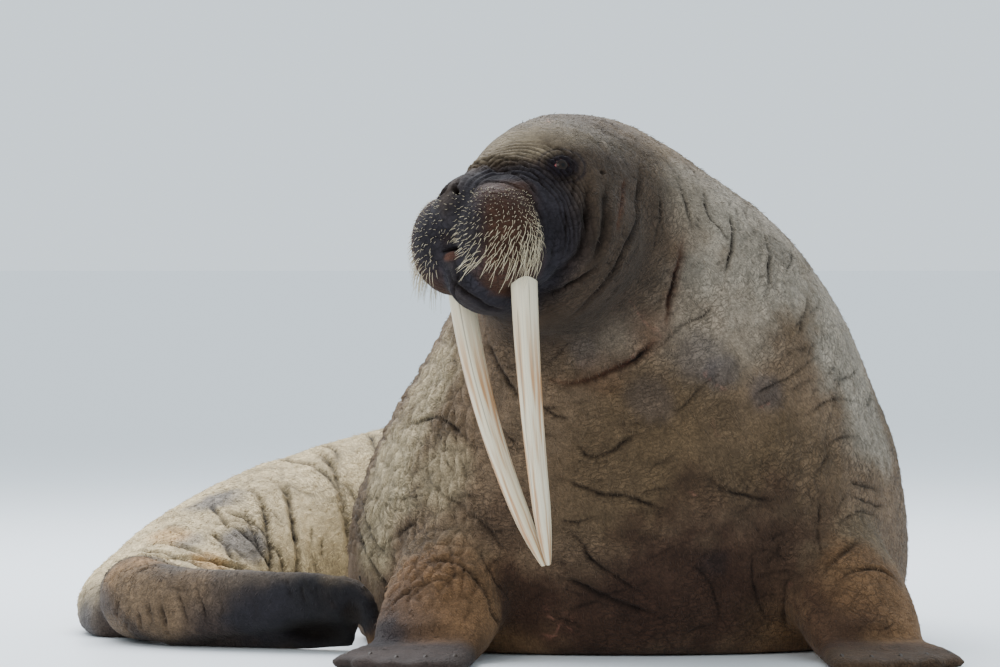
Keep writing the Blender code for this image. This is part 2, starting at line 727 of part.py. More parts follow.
def whiskers(pad, side, neighbours):
    """Stiff bristles set evenly over the front, side and lower edge of a pad, longer towards that edge."""
    draw = random.Random(7 + side)
    skin = tree_of(pad)
    others = [tree_of(item) for item in neighbours]
    axes = HEAD.to_3x3()
    start = HEAD @ mirrored(PAD_MIDDLE, side)
    down_and_in = axes @ Vector((0.25, -0.30 * side, -0.92)).normalized()
    made = []
    total = WHISKERS_A_PAD * 3
    golden = math.pi * (3 - math.sqrt(5))
    for i in range(total):
        height = 1 - 2 * (i + 0.5) / total
        ring = math.sqrt(1 - height * height)
        turn = golden * i + draw.uniform(-0.15, 0.15)
        way = Vector((ring * math.cos(turn), ring * math.sin(turn) * side, height))
        out = way.y * side
        if way.x < -0.35 or height > 0.72 or height < -0.88 or out < -0.68:
            continue
        root, normal, _, _ = skin.ray_cast(start, axes @ way)
        if root is None or (axes @ way).dot(normal) < 0.2:
            continue
        own = HEAD.inverted() @ root
        if own.y * side < 0.010 or own.x < PAD_BACK:
            continue
        low = min(max(0.45 - 0.75 * height + 0.35 * max(out, 0) - 0.25 * max(way.x, 0), 0), 1)
        length = WHISKER_LENGTHS[0] + (WHISKER_LENGTHS[1] - WHISKER_LENGTHS[0]) * low**1.4
        length *= draw.uniform(0.85, 1.15)
        lean = (normal * 0.9 + down_and_in * (0.25 + 0.35 * low)).normalized()
        bent = (normal * 0.45 + down_and_in * (0.35 + 0.7 * low)).normalized()
        middle = root + lean * (length * 0.5)
        tip = middle + bent * (length * 0.5)
        spots = (root, middle, tip)
        if any(tree.find_nearest(spot)[3] < WHISKER_CLEARANCE for tree in others for spot in spots):
            continue
        points = (root - normal * 0.004, middle, tip)
        made.append(tapered("whisker", points, (WHISKER_RADIUS, WHISKER_RADIUS * 0.75), 3))
    return union_all(pad, made)


def material(name, colour, roughness):
    made = bpy.data.materials.new(name)
    made.use_nodes = True
    shader = made.node_tree.nodes["Principled BSDF"]
    shader.inputs["Base Color"].default_value = (*colour, 1)
    shader.inputs["Roughness"].default_value = roughness
    made.diffuse_color = (*colour, 1)
    return made


def finish_head(nodes):
    """Eyes, tusks, nostrils, ears and mouth, cut into the flesh that carries them."""
    for side, word in ((1, "left"), (-1, "right")):
        open_eye(nodes["head"], side)
        nodes[f"eye_{word}"] = eye(f"eye_{word}", side)
        pit(nodes["head"], EAR_PLACE, EAR_RADII, side)
        pit(nodes["nose"], NOSTRIL_PLACE, NOSTRIL_RADII, side, NOSTRIL_TILT)
        nodes[f"tusk_{word}"] = tusk(f"tusk_{word}", side)
        for carrier in (f"whisker_pad_{word}", "head", "lower_jaw"):
            boolean(nodes[carrier], tusk("socket", side, GAP), "DIFFERENCE")
            keep_largest(nodes[carrier])
    for lip in ("lower_jaw", "whisker_pad_left", "whisker_pad_right"):
        pit(nodes[lip], MOUTH_PLACE, MOUTH_RADII)
    for side, word in ((1, "left"), (-1, "right")):
        neighbours = [nodes[name] for name in ("lower_jaw", f"tusk_{word}", "nose", "head")]
        whiskers(nodes[f"whisker_pad_{word}"], side, neighbours)


def finish_flippers(nodes):
    for name, flipper, digits, leading in (
        ("foreflipper_right", HAND_RIGHT, HAND_DIGITS, 1),
        ("foreflipper_left", HAND_LEFT, HAND_DIGITS, -1),
        ("hindflipper_left", FOOT_LEFT, FOOT_DIGITS, 1),
    ):
        union_all(nodes[name], claws(flipper, digits, leading))


def paint(nodes):
    materials = {
        "hide": material("hide", (0.20, 0.150, 0.110), 0.75),
        "dark_hide": material("dark_hide", (0.070, 0.056, 0.050), 0.60),
        "pale_hide": material("pale_hide", (0.36, 0.290, 0.215), 0.80),
        "ivory": material("ivory", (0.80, 0.74, 0.62), 0.35),
        "eye": material("eye", (0.020, 0.012, 0.010), 0.08),
    }
    finishes = {
        "ivory": ("tusk_left", "tusk_right"),
        "eye": ("eye_left", "eye_right"),
        "dark_hide": ("whisker_pad_left", "whisker_pad_right", "nose", "lower_jaw", "hindflipper_right"),
        "pale_hide": ("hindquarters", "tail", "belly"),
    }
    for name, item in nodes.items():
        finish = next((key for key, names in finishes.items() if name in names), "hide")
        item.data.materials.clear()
        item.data.materials.append(materials[finish])


def main():
    clear_scene()
    whole = thin_out(whole_body())
    boolean(whole, box("under_floor", (-3, -3, -1), (3, 3, 0)), "DIFFERENCE")
    nodes = parted(whole)
    finish_head(nodes)
    finish_flippers(nodes)
    paint(nodes)


main()
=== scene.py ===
import itertools
import math
import random

import bpy
import numpy as np
from mathutils import Matrix, Vector
from mathutils.bvhtree import BVHTree
from mathutils.kdtree import KDTree


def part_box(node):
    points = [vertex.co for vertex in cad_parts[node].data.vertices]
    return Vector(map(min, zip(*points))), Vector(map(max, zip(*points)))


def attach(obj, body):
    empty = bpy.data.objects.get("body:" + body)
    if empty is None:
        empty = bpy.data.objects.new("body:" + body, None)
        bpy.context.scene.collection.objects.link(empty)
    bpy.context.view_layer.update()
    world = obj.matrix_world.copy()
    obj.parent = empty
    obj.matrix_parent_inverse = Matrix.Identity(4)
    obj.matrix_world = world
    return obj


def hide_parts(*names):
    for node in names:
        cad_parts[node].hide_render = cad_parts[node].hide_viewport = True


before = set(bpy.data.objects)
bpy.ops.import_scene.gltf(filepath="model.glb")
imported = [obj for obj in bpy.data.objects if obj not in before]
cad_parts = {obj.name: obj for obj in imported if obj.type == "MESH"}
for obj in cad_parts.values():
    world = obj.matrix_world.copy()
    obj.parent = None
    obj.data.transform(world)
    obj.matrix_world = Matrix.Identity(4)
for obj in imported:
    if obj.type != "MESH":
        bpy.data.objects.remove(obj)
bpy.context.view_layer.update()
print("frame loaded")

# Metres. The floor is z = 0, the chest faces -Y, and +X is to the animal's left.


def deselectAll():
    if bpy.context.object and bpy.context.object.mode != "OBJECT":
        bpy.ops.object.mode_set(mode="OBJECT")
    bpy.ops.object.select_all(action="DESELECT")


def makeActive(item):
    deselectAll()
    item.select_set(True)
    bpy.context.view_layer.objects.active = item


def applyPlace(item):
    makeActive(item)
    bpy.ops.object.transform_apply(location=True, rotation=True, scale=True)


def addModifier(item, name, kind, **settings):
    made = item.modifiers.new(name, kind)
    for key, value in settings.items():
        setattr(made, key, value)
    return made


def applyAll(item):
    makeActive(item)
    for modifier in list(item.modifiers):
        bpy.ops.object.modifier_apply(modifier=modifier.name)


def joinPieces(items, name):
    deselectAll()
    for item in items:
        item.select_set(True)
    bpy.context.view_layer.objects.active = items[0]
    bpy.ops.object.join()
    items[0].name = name
    return items[0]


def valuesOf(item, field):
    flat = np.empty(len(item.data.vertices) * 3, np.float32)
    item.data.vertices.foreach_get(field, flat)
    return flat.reshape(-1, 3).astype(float)


def putPoints(item, points):
    item.data.vertices.foreach_set("co", points.astype(np.float32).ravel())
    item.data.update()


def smoothStep(values, start, end):
    share = np.clip((values - start) / (end - start), 0, 1)
    return share * share * (3 - 2 * share)


def fadeOut(values, start, end):
    return 1 - smoothStep(values, start, end)


def bell(values, middle, width):
    # 1 at the middle, fading away on both sides
    return np.exp(-(((values - middle) / width) ** 2))


def gapTo(spots, middle, radii=(1, 1, 1)):
    # distance from a middle, in shares of the radii
    return np.linalg.norm((spots - np.array(middle)) / np.array(radii), axis=1)


def addLayer(item, name, kind, values):
    # a value for each point of the mesh, which a material can read
    field = {"FLOAT": "value", "FLOAT_VECTOR": "vector", "FLOAT_COLOR": "color"}[kind]
    layer = item.data.attributes.new(name, kind, "POINT")
    layer.data.foreach_set(field, np.asarray(values, np.float32).ravel())


def shadeSmooth(item):
    makeActive(item)
    bpy.ops.object.shade_smooth()


def faceOutwards(item):
    makeActive(item)
    bpy.ops.object.mode_set(mode="EDIT")
    bpy.ops.mesh.select_all(action="SELECT")
    bpy.ops.mesh.normals_make_consistent(inside=False)
    bpy.ops.object.mode_set(mode="OBJECT")


def inScene(name, data):
    made = bpy.data.objects.new(name, data)
    bpy.context.scene.collection.objects.link(made)
    return made


def searchTree(spots):
    tree = KDTree(len(spots))
    for index, spot in enumerate(spots):
        tree.insert(spot, index)
    tree.balance()
    return tree


def surfaceOf(item):
    faces = [tuple(face.vertices) for face in item.data.polygons]
    return BVHTree.FromPolygons([vert.co.copy() for vert in item.data.vertices], faces)


def hashed(cells, seed):
    # the same number from 0 to 1 for the same cell, with no pattern from one cell to the next
    mixed = cells[:, 0] * 73856093 ^ cells[:, 1] * 19349663 ^ cells[:, 2] * 83492791 ^ (seed * 7919 + 12289)
    mixed = (mixed ^ (mixed >> 13)) * 1274126177
    return ((mixed ^ (mixed >> 16)) & 0xFFFF) / 65535


def cloudy(points, size, seed=0):
    # soft lumps from -1 to 1, as wide as size
    spots = points / np.array(size) + 17.3 * (seed + 1)
    base = np.floor(spots).astype(np.int64)
    part = spots - base
    part = part * part * (3 - 2 * part)
    total = np.zeros(len(points))
    for corner in itertools.product((0, 1), repeat=3):
        weight = np.prod(np.where(np.array(corner) == 1, part, 1 - part), axis=1)
        total += (hashed(base + corner, seed) * 2 - 1) * weight
    return total


def cellEdges(points, size, seed=0):
    # 0 on the borders of irregular cells, rising towards their middles
    spots = points / np.array(size)
    base = np.floor(spots).astype(np.int64)
    first = np.full(len(points), 9.0)
    second = np.full(len(points), 9.0)
    for corner in itertools.product((-1, 0, 1), repeat=3):
        cell = base + corner
        jitter = np.stack([hashed(cell, seed + 50 * axis) for axis in range(3)], axis=1)
        gap = np.linalg.norm(cell + 0.15 + 0.7 * jitter - spots, axis=1)
        second = np.minimum(second, np.maximum(first, gap))
        first = np.minimum(first, gap)
    return second - first


# The camera stands where the photograph was taken from, level with the animal.
cameraSetup = {
    "aimsAt": (-0.202, 0, 0.6494),
    "distance": 14,
    "degreesUp": 2,
    "photoWidth": 1000,
    "photoHeight": 667,
    "metresPerPixel": 0.00202,
}


def setCamera():
    setup = cameraSetup
    up = math.radians(setup["degreesUp"])
    back = Vector((0, -math.cos(up), math.sin(up)))
    data = bpy.data.cameras.new("photoCamera")
    data.sensor_width = 36
    data.lens = data.sensor_width * setup["distance"] / (setup["photoWidth"] * setup["metresPerPixel"])
    made = inScene("photoCamera", data)
    made.location = Vector(setup["aimsAt"]) + back * setup["distance"]
    made.rotation_euler = (math.pi / 2 - up, 0, 0)
    bpy.context.scene.camera = made
    bpy.context.view_layer.update()
    return made


camera = setCamera()


def lineOfSight(px, py):
    # from the camera through a spot in the 1000 x 667 frame
    wide, high = cameraSetup["photoWidth"], cameraSetup["photoHeight"]
    focal = camera.data.lens / camera.data.sensor_width * wide
    way = Vector((px - wide / 2, high / 2 - py, -focal))
    return camera.location.copy(), (camera.rotation_euler.to_matrix() @ way).normalized()


headPlace = {"middle": (-0.174, -0.21, 0.970), "yaw": 46, "pitch": 6, "roll": 9.5}


def headMatrix():
    yaw, pitch = math.radians(headPlace["yaw"]), math.radians(headPlace["pitch"])
    forward = Vector((-math.sin(yaw) * math.cos(pitch), -math.cos(yaw) * math.cos(pitch), math.sin(pitch)))
    left = Vector((math.cos(yaw), -math.sin(yaw), 0))
    tilt = Matrix.Rotation(math.radians(headPlace["roll"]), 3, forward)
    axes = Matrix((forward, tilt @ left, tilt @ forward.cross(left))).transposed().to_4x4()
    return Matrix.Translation(headPlace["middle"]) @ axes


head = headMatrix()
headArray = np.array(head)
headBack = np.array(head.inverted())


def inHead(points):
    return points @ headBack[:3, :3].T + headBack[:3, 3]


def outOfHead(points):
    return points @ headArray[:3, :3].T + headArray[:3, 3]


# The skin starts as the flesh solids melted into one form, with the face's masses added whole.
skinSetup = {
    "nodes": ["belly", "chest", "foreflipper_left", "foreflipper_right", "head", "hindflipper_left",
              "hindflipper_right", "hindquarters", "lower_jaw", "neck", "nose", "tail"],
    "pads": ["whisker_pad_left", "whisker_pad_right"],
    "grain": 0.0088,
    "bodySmoothing": 56,
    "fineSmoothing": 6,
    "keptRound": (0.0, 0, -0.10),  # the face, in the head's frame, isn't softened as much
    "keptFace": (0.22, 0.36),
    "keptHands": ((-0.37, -0.28), (0.56, -0.25)),
    "keptHand": (0.14, 0.26),
    "triangles": 194000,
}
# Places on the head are in its own frame: forwards, to its left, and up.
eyePlaces = {"place": (-0.012, 0.116, 0.0), "outward": (0.42, 0.90, 0.05), "radius": 0.0226}
muzzleMasses = (
    ((0.085, 0, -0.078), (0.118, 0.074, 0.078)),
    ((0.090, 0, -0.120), (0.084, 0.060, 0.060)),
    ((0.112, 0.064, -0.140), (0.090, 0.080, 0.102)),
    ((0.112, -0.064, -0.140), (0.090, 0.080, 0.102)),
    ((0.032, 0.050, -0.074), (0.100, 0.076, 0.070)),
    ((0.032, -0.050, -0.074), (0.100, 0.076, 0.070)),
    ((0.006, 0.074, -0.130), (0.086, 0.064, 0.108)),
    ((0.006, -0.074, -0.130), (0.086, 0.064, 0.108)),
    ((0.056, 0.092, -0.186), (0.064, 0.046, 0.050)),
    ((0.056, -0.092, -0.186), (0.064, 0.046, 0.050)),
    ((-0.012, 0.116, 0.0), (0.0262, 0.0262, 0.0262)),
    ((-0.012, -0.116, 0.0), (0.0262, 0.0262, 0.0262)),
    ((0.138, 0, -0.190), (0.052, 0.036, 0.028)),
)


def copyOf(node):
    return inScene("flesh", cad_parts[node].data.copy())


def keepLargest(item):
    makeActive(item)
    bpy.ops.object.mode_set(mode="EDIT")
    bpy.ops.mesh.select_all(action="SELECT")
    bpy.ops.mesh.separate(type="LOOSE")
    bpy.ops.object.mode_set(mode="OBJECT")
    found = sorted(bpy.context.selected_objects, key=lambda one: -len(one.data.vertices))
    if item != found[0]:
        item.data, found[0].data = found[0].data, item.data
    for other in [one for one in found if one != item]:
        bpy.data.objects.remove(other)


def buildSkin():
    parts = [copyOf(node) for node in skinSetup["nodes"]]
    for place, radii in muzzleMasses:
        deselectAll()
        bpy.ops.mesh.primitive_uv_sphere_add(segments=48, ring_count=24, radius=1)
        ball = bpy.context.object
        ball.data.transform(head @ Matrix.Translation(place) @ Matrix.Diagonal((*radii, 1)))
        parts.append(ball)
    skin = joinPieces(parts, "walrusSkin")
    skin.data.materials.clear()
    extra = [layer.name for layer in skin.data.attributes if not layer.is_required and not layer.is_internal]
    for name in extra:
        skin.data.attributes.remove(skin.data.attributes[name])
    addModifier(skin, "melt", "REMESH", mode="VOXEL", voxel_size=skinSetup["grain"])
    applyAll(skin)
    keepLargest(skin)
    points = valuesOf(skin, "co")
    body = smoothStep(gapTo(inHead(points), skinSetup["keptRound"]), *skinSetup["keptFace"])
    for x, y in skinSetup["keptHands"]:
        body *= smoothStep(np.hypot(points[:, 0] - x, points[:, 1] - y), *skinSetup["keptHand"])
    # the near hind flipper keeps its shape too
    body *= 1 - smoothStep(-points[:, 0], 0.50, 0.62) * fadeOut(points[:, 1], 0.40, 0.56)
    group = skin.vertex_groups.new(name="body")
    for index in np.flatnonzero(body > 0.01):
        group.add((int(index),), float(body[index]), "REPLACE")
    rounds = skinSetup["bodySmoothing"]
    addModifier(skin, "soften", "SMOOTH", factor=0.5, iterations=rounds, vertex_group="body")
    addModifier(skin, "softenAll", "SMOOTH", factor=0.5, iterations=skinSetup["fineSmoothing"])
    addModifier(skin, "finer", "SUBSURF", levels=1, render_levels=1)
    applyAll(skin)
    skin.vertex_groups.clear()
    return skin


def refine(item, inside):
    # splits each face whose middle the test picks
    makeActive(item)
    flat = np.empty(len(item.data.polygons) * 3, np.float32)
    item.data.polygons.foreach_get("center", flat)
    chosen = inside(flat.reshape(-1, 3).astype(float))
    item.data.vertices.foreach_set("select", np.zeros(len(item.data.vertices), bool))
    item.data.edges.foreach_set("select", np.zeros(len(item.data.edges), bool))
    item.data.polygons.foreach_set("select", chosen)
    bpy.ops.object.mode_set(mode="EDIT")
    bpy.ops.mesh.select_mode(type="FACE")
    bpy.ops.mesh.subdivide(number_cuts=1, smoothness=0)
    bpy.ops.object.mode_set(mode="OBJECT")


print("skin: melting the flesh into one form")
skin = buildSkin()
coarse = surfaceOf(skin)

# Finer faces all over the face, and finer still round the eyes, the nose and the mouth.
faceMiddle = np.array((0.07, 0, -0.11))
faceReach = 0.21
fineSpots = (
    ((-0.012, 0.116, 0.0), 0.044),
    ((-0.012, -0.116, 0.0), 0.044),
    ((0.188, 0, -0.055), 0.056),
    ((0.185, 0, -0.165), 0.058),
)
refine(skin, lambda spots: gapTo(inHead(spots), faceMiddle) < faceReach)
refine(skin, lambda spots: np.min(
    [gapTo(inHead(spots), spot) - reach for spot, reach in fineSpots], axis=0) < 0)
print("skin: faces", len(skin.data.polygons))

# Coat lines run from head to tail along this line through the body.
spineSetup = {
    "places": ((-0.20, -0.26, 0.94), (-0.12, -0.10, 0.90), (-0.02, 0.05, 0.76), (0.05, 0.22, 0.56),
               (0.09, 0.42, 0.36), (0.08, 0.62, 0.25), (0.02, 0.84, 0.21), (-0.12, 1.02, 0.18),
               (-0.34, 1.12, 0.15), (-0.59, 1.06, 0.12), (-0.78, 0.89, 0.09), (-0.905, 0.70, 0.07)),
    "blend": 0.16,
    "sharpness": 2.2,
}


def spineWays(spots):
    # the way from head to tail beside each spot, and how far along the spine it stands
    places = np.array(spineSetup["places"])
    ways = np.gradient(places, axis=0)
    ways /= np.linalg.norm(ways, axis=1)[:, None]
    run = np.concatenate([[0], np.cumsum(np.linalg.norm(np.diff(places, axis=0), axis=1))])
    gaps = np.linalg.norm(spots[:, None, :] - places[None], axis=2)
    weight = np.exp(-((gaps - gaps.min(axis=1)[:, None]) / spineSetup["blend"]) * spineSetup["sharpness"])
    weight /= weight.sum(axis=1)[:, None]
    blended = weight @ ways
    return blended / np.linalg.norm(blended, axis=1)[:, None], weight @ run


# Folds seen from the camera, as spots in the photograph's frame: depth and half width in millimetres.
foldSetup = {
    "ring": (14, 9.5),
    "cheek": (12, 12),
    "deep": (9.5, 7.5),
    "middle": (6.5, 5.6),
    "fine": (4.2, 4.2),
    "branch": (2.0, 2.9),
    "scar": (-0.9, 2.4),
    "bulge": 0.36,  # share of the depth that swells up beside a fold
    "step": 0.004,
    "jump": 0.13,  # a line of sight that lands farther off than this has left the fold's own form
    "reach": 2.8,  # half widths to which a fold is felt
    "runOn": (0.12, 0.34),  # how far a ring goes on past the ends that the camera sees
    "fineFaces": 0.0055,
}
bodyFolds = (
    ("deep", "dark", ((641, 158), (638, 189), (636, 223), (623, 254), (599, 291), (576, 314), (560, 323))),
    ("middle", "dark", ((675, 176), (688, 210), (692, 231))),
    ("deep", "rust", ((683, 236), (679, 262), (672, 288), (668, 306), (667, 330))),
    ("fine", "dark", ((667, 297), (651, 306), (638, 312))),
    ("fine", "dark", ((701, 184), (706, 210), (722, 231), (729, 247))),
    ("middle", "dark", ((727, 205), (733, 231), (731, 254), (723, 280))),
    ("middle", "dark", ((761, 226), (768, 249), (769, 278), (763, 301))),
    ("fine", "dark", ((791, 249), (792, 260), (786, 272))),
    ("fine", "dark", ((807, 258), (808, 296), (804, 317), (795, 338))),
    ("fine", "dark", ((845, 336), (823, 353), (805, 366), (787, 379), (763, 390), (748, 408))),
    ("fine", "dark", ((857, 369), (844, 379), (834, 381))),
    ("fine", "dark", ((860, 402), (834, 399), (813, 411), (800, 418))),
    ("fine", "dark", ((870, 450), (855, 437), (836, 439), (821, 455))),
    ("fine", "dark", ((719, 374), (701, 387), (685, 405), (672, 411))),
    ("deep", "rust", ((664, 332), (638, 356), (612, 370), (596, 377), (569, 383), (545, 379))),
    ("fine", "dark", ((714, 304), (701, 317), (672, 329))),
    ("middle", "dark", ((640, 432), (622, 443), (605, 454), (587, 456), (571, 436))),
    ("fine", "dark", ((659, 190), (660, 215), (662, 241))),
    ("middle", "dark", ((368, 560), (392, 540), (407, 527), (423, 519))),
    ("deep", "dark", ((419, 565), (445, 560), (467, 571), (485, 591), (494, 616), (497, 634))),
    ("middle", "dark", ((378, 620), (399, 598), (419, 585), (441, 580), (458, 585))),
    ("middle", "dark", ((403, 427), (427, 419), (441, 419), (454, 427), (472, 445), (485, 456))),
    ("fine", "dark", ((383, 500), (403, 499), (419, 496), (434, 498))),
    ("middle", "dark", ((425, 472), (438, 489), (452, 500), (465, 507))),
    ("fine", "dark", ((445, 436), (445, 454), (452, 472))),
    ("fine", "dark", ((461, 445), (463, 463), (467, 485))),
    ("middle", "dark", ((463, 520), (474, 516), (485, 525), (498, 543), (507, 556))),
    ("fine", "dark", ((481, 540), (485, 562), (498, 585), (514, 607))),
    ("middle", "dark", ((485, 337), (498, 363), (514, 390), (522, 400))),
    ("fine", "dark", ((492, 416), (507, 436), (523, 445))),
    ("fine", "dark", ((545, 407), (556, 416), (569, 419))),
    ("middle", "dark", ((554, 472), (574, 483), (600, 494), (624, 496), (645, 503), (672, 512))),
    ("fine", "dark", ((556, 520), (578, 523), (596, 516))),
    ("middle", "dark", ((558, 527), (578, 540), (591, 560), (616, 576), (640, 593), (655, 603))),
    ("deep", "dark", ((549, 574), (571, 582), (596, 593), (618, 602), (645, 612), (668, 622))),
    ("fine", "dark", ((396, 454), (394, 470), (394, 485))),
    ("deep", "dark", ((225, 482), (242, 506), (255, 536), (264, 566))),
    ("deep", "dark", ((208, 502), (220, 516), (235, 536))),
    ("deep", "dark", ((203, 528), (223, 543), (236, 566))),
    ("ring", "dark", ((256, 477), (263, 504), (269, 536), (272, 566))),
    ("ring", "dark", ((274, 469), (287, 496), (294, 526), (299, 566))),
    ("ring", "dark", ((319, 447), (336, 474), (343, 501), (345, 515))),
    ("fine", "dark", ((322, 538), (322, 566))),
    ("ring", "dark", ((99, 583), (124, 570), (136, 560), (158, 557), (193, 559), (232, 566))),
    ("middle", "dark", ((139, 612), (141, 629), (149, 647))),
    ("middle", "dark", ((149, 602), (154, 629), (161, 644))),
    ("middle", "dark", ((161, 592), (163, 617), (171, 637))),
    ("middle", "dark", ((129, 615), (127, 630), (129, 642))),
    ("middle", "dark", ((120, 600), (117, 618), (119, 640))),
    ("fine", "dark", ((178, 588), (184, 610), (190, 630))),
    ("fine", "dark", ((196, 585), (203, 606), (208, 628))),
    ("fine", "dark", ((287, 580), (292, 598))),
    ("fine", "dark", ((302, 585), (306, 602))),
    ("fine", "dark", ((316, 588), (322, 606))),
    ("fine", "dark", ((329, 592), (337, 610))),
    ("deep", "dark", ((820, 575), (836, 558), (853, 545), (868, 537), (889, 542))),
    ("middle", "dark", ((832, 584), (846, 574), (862, 569), (883, 571), (902, 586))),
    ("fine", "dark", ((845, 478), (862, 486), (884, 492))),
    ("fine", "dark", ((850, 496), (868, 502), (886, 510))),
    ("fine", "dark", ((846, 515), (862, 512), (884, 522))),
    ("fine", "dark", ((822, 500), (818, 530), (822, 560))),
    ("middle", "dark", ((700, 470), (722, 488), (748, 497), (780, 500))),
    ("fine", "dark", ((690, 560), (706, 578), (716, 600), (720, 625))),
    ("fine", "dark", ((756, 540), (752, 570), (758, 600), (770, 630))),
    ("middle", "dark", ((795, 560), (786, 585), (784, 610), (788, 635))),
)
scars = (
    ((628, 298), (635, 307), (642, 319), (652, 328), (666, 333)),
    ((772, 584), (790, 584), (806, 582)),
    ((700, 372), (714, 382), (726, 390)),
    ((712, 422), (715, 428), (717, 436)),
    ((692, 492), (696, 496), (700, 494)),
    ((547, 117), (549, 121), (551, 126)),
    ((545, 606), (552, 618), (566, 626), (578, 634)),
    ((560, 622), (556, 634), (548, 640)),
    ((566, 612), (572, 620), (570, 632)),
    ((636, 352), (628, 360), (622, 368)),
    ((760, 408), (768, 404), (776, 396)),
)
faceFolds = (
    ("fine", "dark", ((467, 164), (484, 159), (506, 158), (525, 165), (540, 180), (549, 200))),
    ("fine", "dark", ((462, 180), (475, 172), (495, 170), (516, 174), (532, 187), (543, 204), (549, 222))),
    ("fine", "dark", ((477, 186), (492, 182), (508, 184), (525, 193), (536, 206), (543, 223), (546, 241))),
    ("middle", "dark", ((441, 192), (448, 183), (458, 176), (470, 173), (482, 174))),
    ("cheek", "dark", ((588, 172), (588, 204), (586, 230), (579, 252), (566, 267), (544, 285))),
    ("cheek", "dark", ((607, 180), (606, 211), (602, 241), (592, 262))),
    ("middle", "rust", ((625, 176), (622, 205), (616, 232))),
    ("fine", "dark", ((575, 143), (573, 161), (574, 182), (572, 205))),
    ("middle", "dark", ((447, 262), (451, 277), (462, 289), (479, 301), (492, 308), (507, 311))),
    ("middle", "dark", ((540, 297), (562, 289), (584, 276), (603, 263))),
    ("fine", "dark", ((555, 236), (552, 255), (545, 270))),
    ("fine", "dark", ((565, 210), (566, 228), (562, 246))),
    ("fine", "dark", ((548, 146), (560, 150), (569, 157), (574, 168))),
    ("fine", "dark", ((553, 176), (562, 180), (572, 177))),
)
# Folds on the sides that the photograph doesn't show, and small ones between the rest
hiddenFolds = {
    "seed": 11,
    "strays": 820,
    "wander": 0.30,
    "pace": 0.009,
    "bigShare": 0.26,
    "bigFrom": 0.15,
    "bigLength": (0.22, 0.7),
    "bigSize": (8.5, 7.5),
    "bigWander": 0.10,
    "smallLength": (0.03, 0.10, 0.16),
    "smallDepth": (1.6, 3.4),
    "smallWidth": (3.2, 4.8),
}


def smoothLine(spots, step):
    spots = [Vector(spot) for spot in spots]
    padded = [spots[0] * 2 - spots[1], *spots, spots[-1] * 2 - spots[-2]]
    made = []
    for a, b, c, d in zip(padded, padded[1:], padded[2:], padded[3:]):
        count = max(int((c - b).length / step), 1)
        for i in range(count):
            t = i / count
            made.append(0.5 * (2 * b + (c - a) * t + (2 * a - 5 * b + 4 * c - d) * t * t
                               + (3 * b - a - 3 * c + d) * t * t * t))
    return [*made, spots[-1]]


def foldFromView(spots):
    # where the line of sight through each spot meets the skin, as the longest stretch without a jump
    stretches = [[]]
    for px, py in spots:
        hit = coarse.ray_cast(*lineOfSight(px, py))[0]
        if hit is None or stretches[-1] and (hit - stretches[-1][-1]).length > foldSetup["jump"]:
            stretches.append([])
        if hit is not None:
            stretches[-1].append(hit)
    return max(stretches, key=len)


def roughen(line, seed):
    # a fold is never a clean curve: it wavers by a few millimetres
    spots = np.array(line)
    for axis in range(3):
        wide, narrow = cloudy(spots, 0.022, seed + axis), cloudy(spots, 0.008, seed + axis + 3)
        spots[:, axis] += 0.0026 * wide + 0.0011 * narrow
    return [Vector(spot) for spot in spots]


def branches(draw, line):
    # short wrinkles that run into a fold from both sides
    made = []
    for number in range(4, len(line) - 4, 5):
        if draw.random() < 0.35:
            continue
        spot, tangent = line[number], (line[number + 1] - line[number - 1]).normalized()
        normal = coarse.find_nearest(spot)[1]
        turn = draw.choice((-1, 1)) * math.radians(draw.uniform(35, 85))
        way = Matrix.Rotation(turn, 3, normal) @ tangent
        length = draw.uniform(0.012, 0.034)
        made.append([coarse.find_nearest(spot + way * length * share)[0] for share in (0.1, 0.4, 0.7, 1.0)])
    return made


def traceFold(draw, spot, length, wander):
    # walks over the skin round the body, with a slow wander
    line = [spot]
    pace = hiddenFolds["pace"]
    turn = draw.uniform(-0.5, 0.5)
    for _ in range(int(length / pace)):
        hit, normal, _, _ = coarse.find_nearest(line[-1])
        way = Vector(spineWays(np.array([line[-1]]))[0][0])
        around = normal.cross(way)
        if around.length < 0.2:
            break
        turn += draw.uniform(-wander, wander) - 0.10 * turn
        ahead = Matrix.Rotation(turn, 3, normal) @ around.normalized()
        if len(line) > 1 and ahead.dot(line[-1] - line[-2]) < 0:
            ahead = -ahead
        line.append(coarse.find_nearest(line[-1] + ahead * pace)[0])
    return line


def walkOn(before, spot, length):
    # carries a fold on over the skin, bending slowly round the body
    made = []
    ahead = (spot - before).normalized()
    for _ in range(int(length / 0.02)):
        normal = coarse.find_nearest(spot)[1]
        around = normal.cross(Vector(spineWays(np.array([spot]))[0][0]))
        if around.dot(ahead) < 0:
            around = -around
        ahead = (ahead * 0.8 + around * 0.2).normalized()
        spot = coarse.find_nearest(spot + ahead * 0.02)[0]
        made.append(spot)
    return made


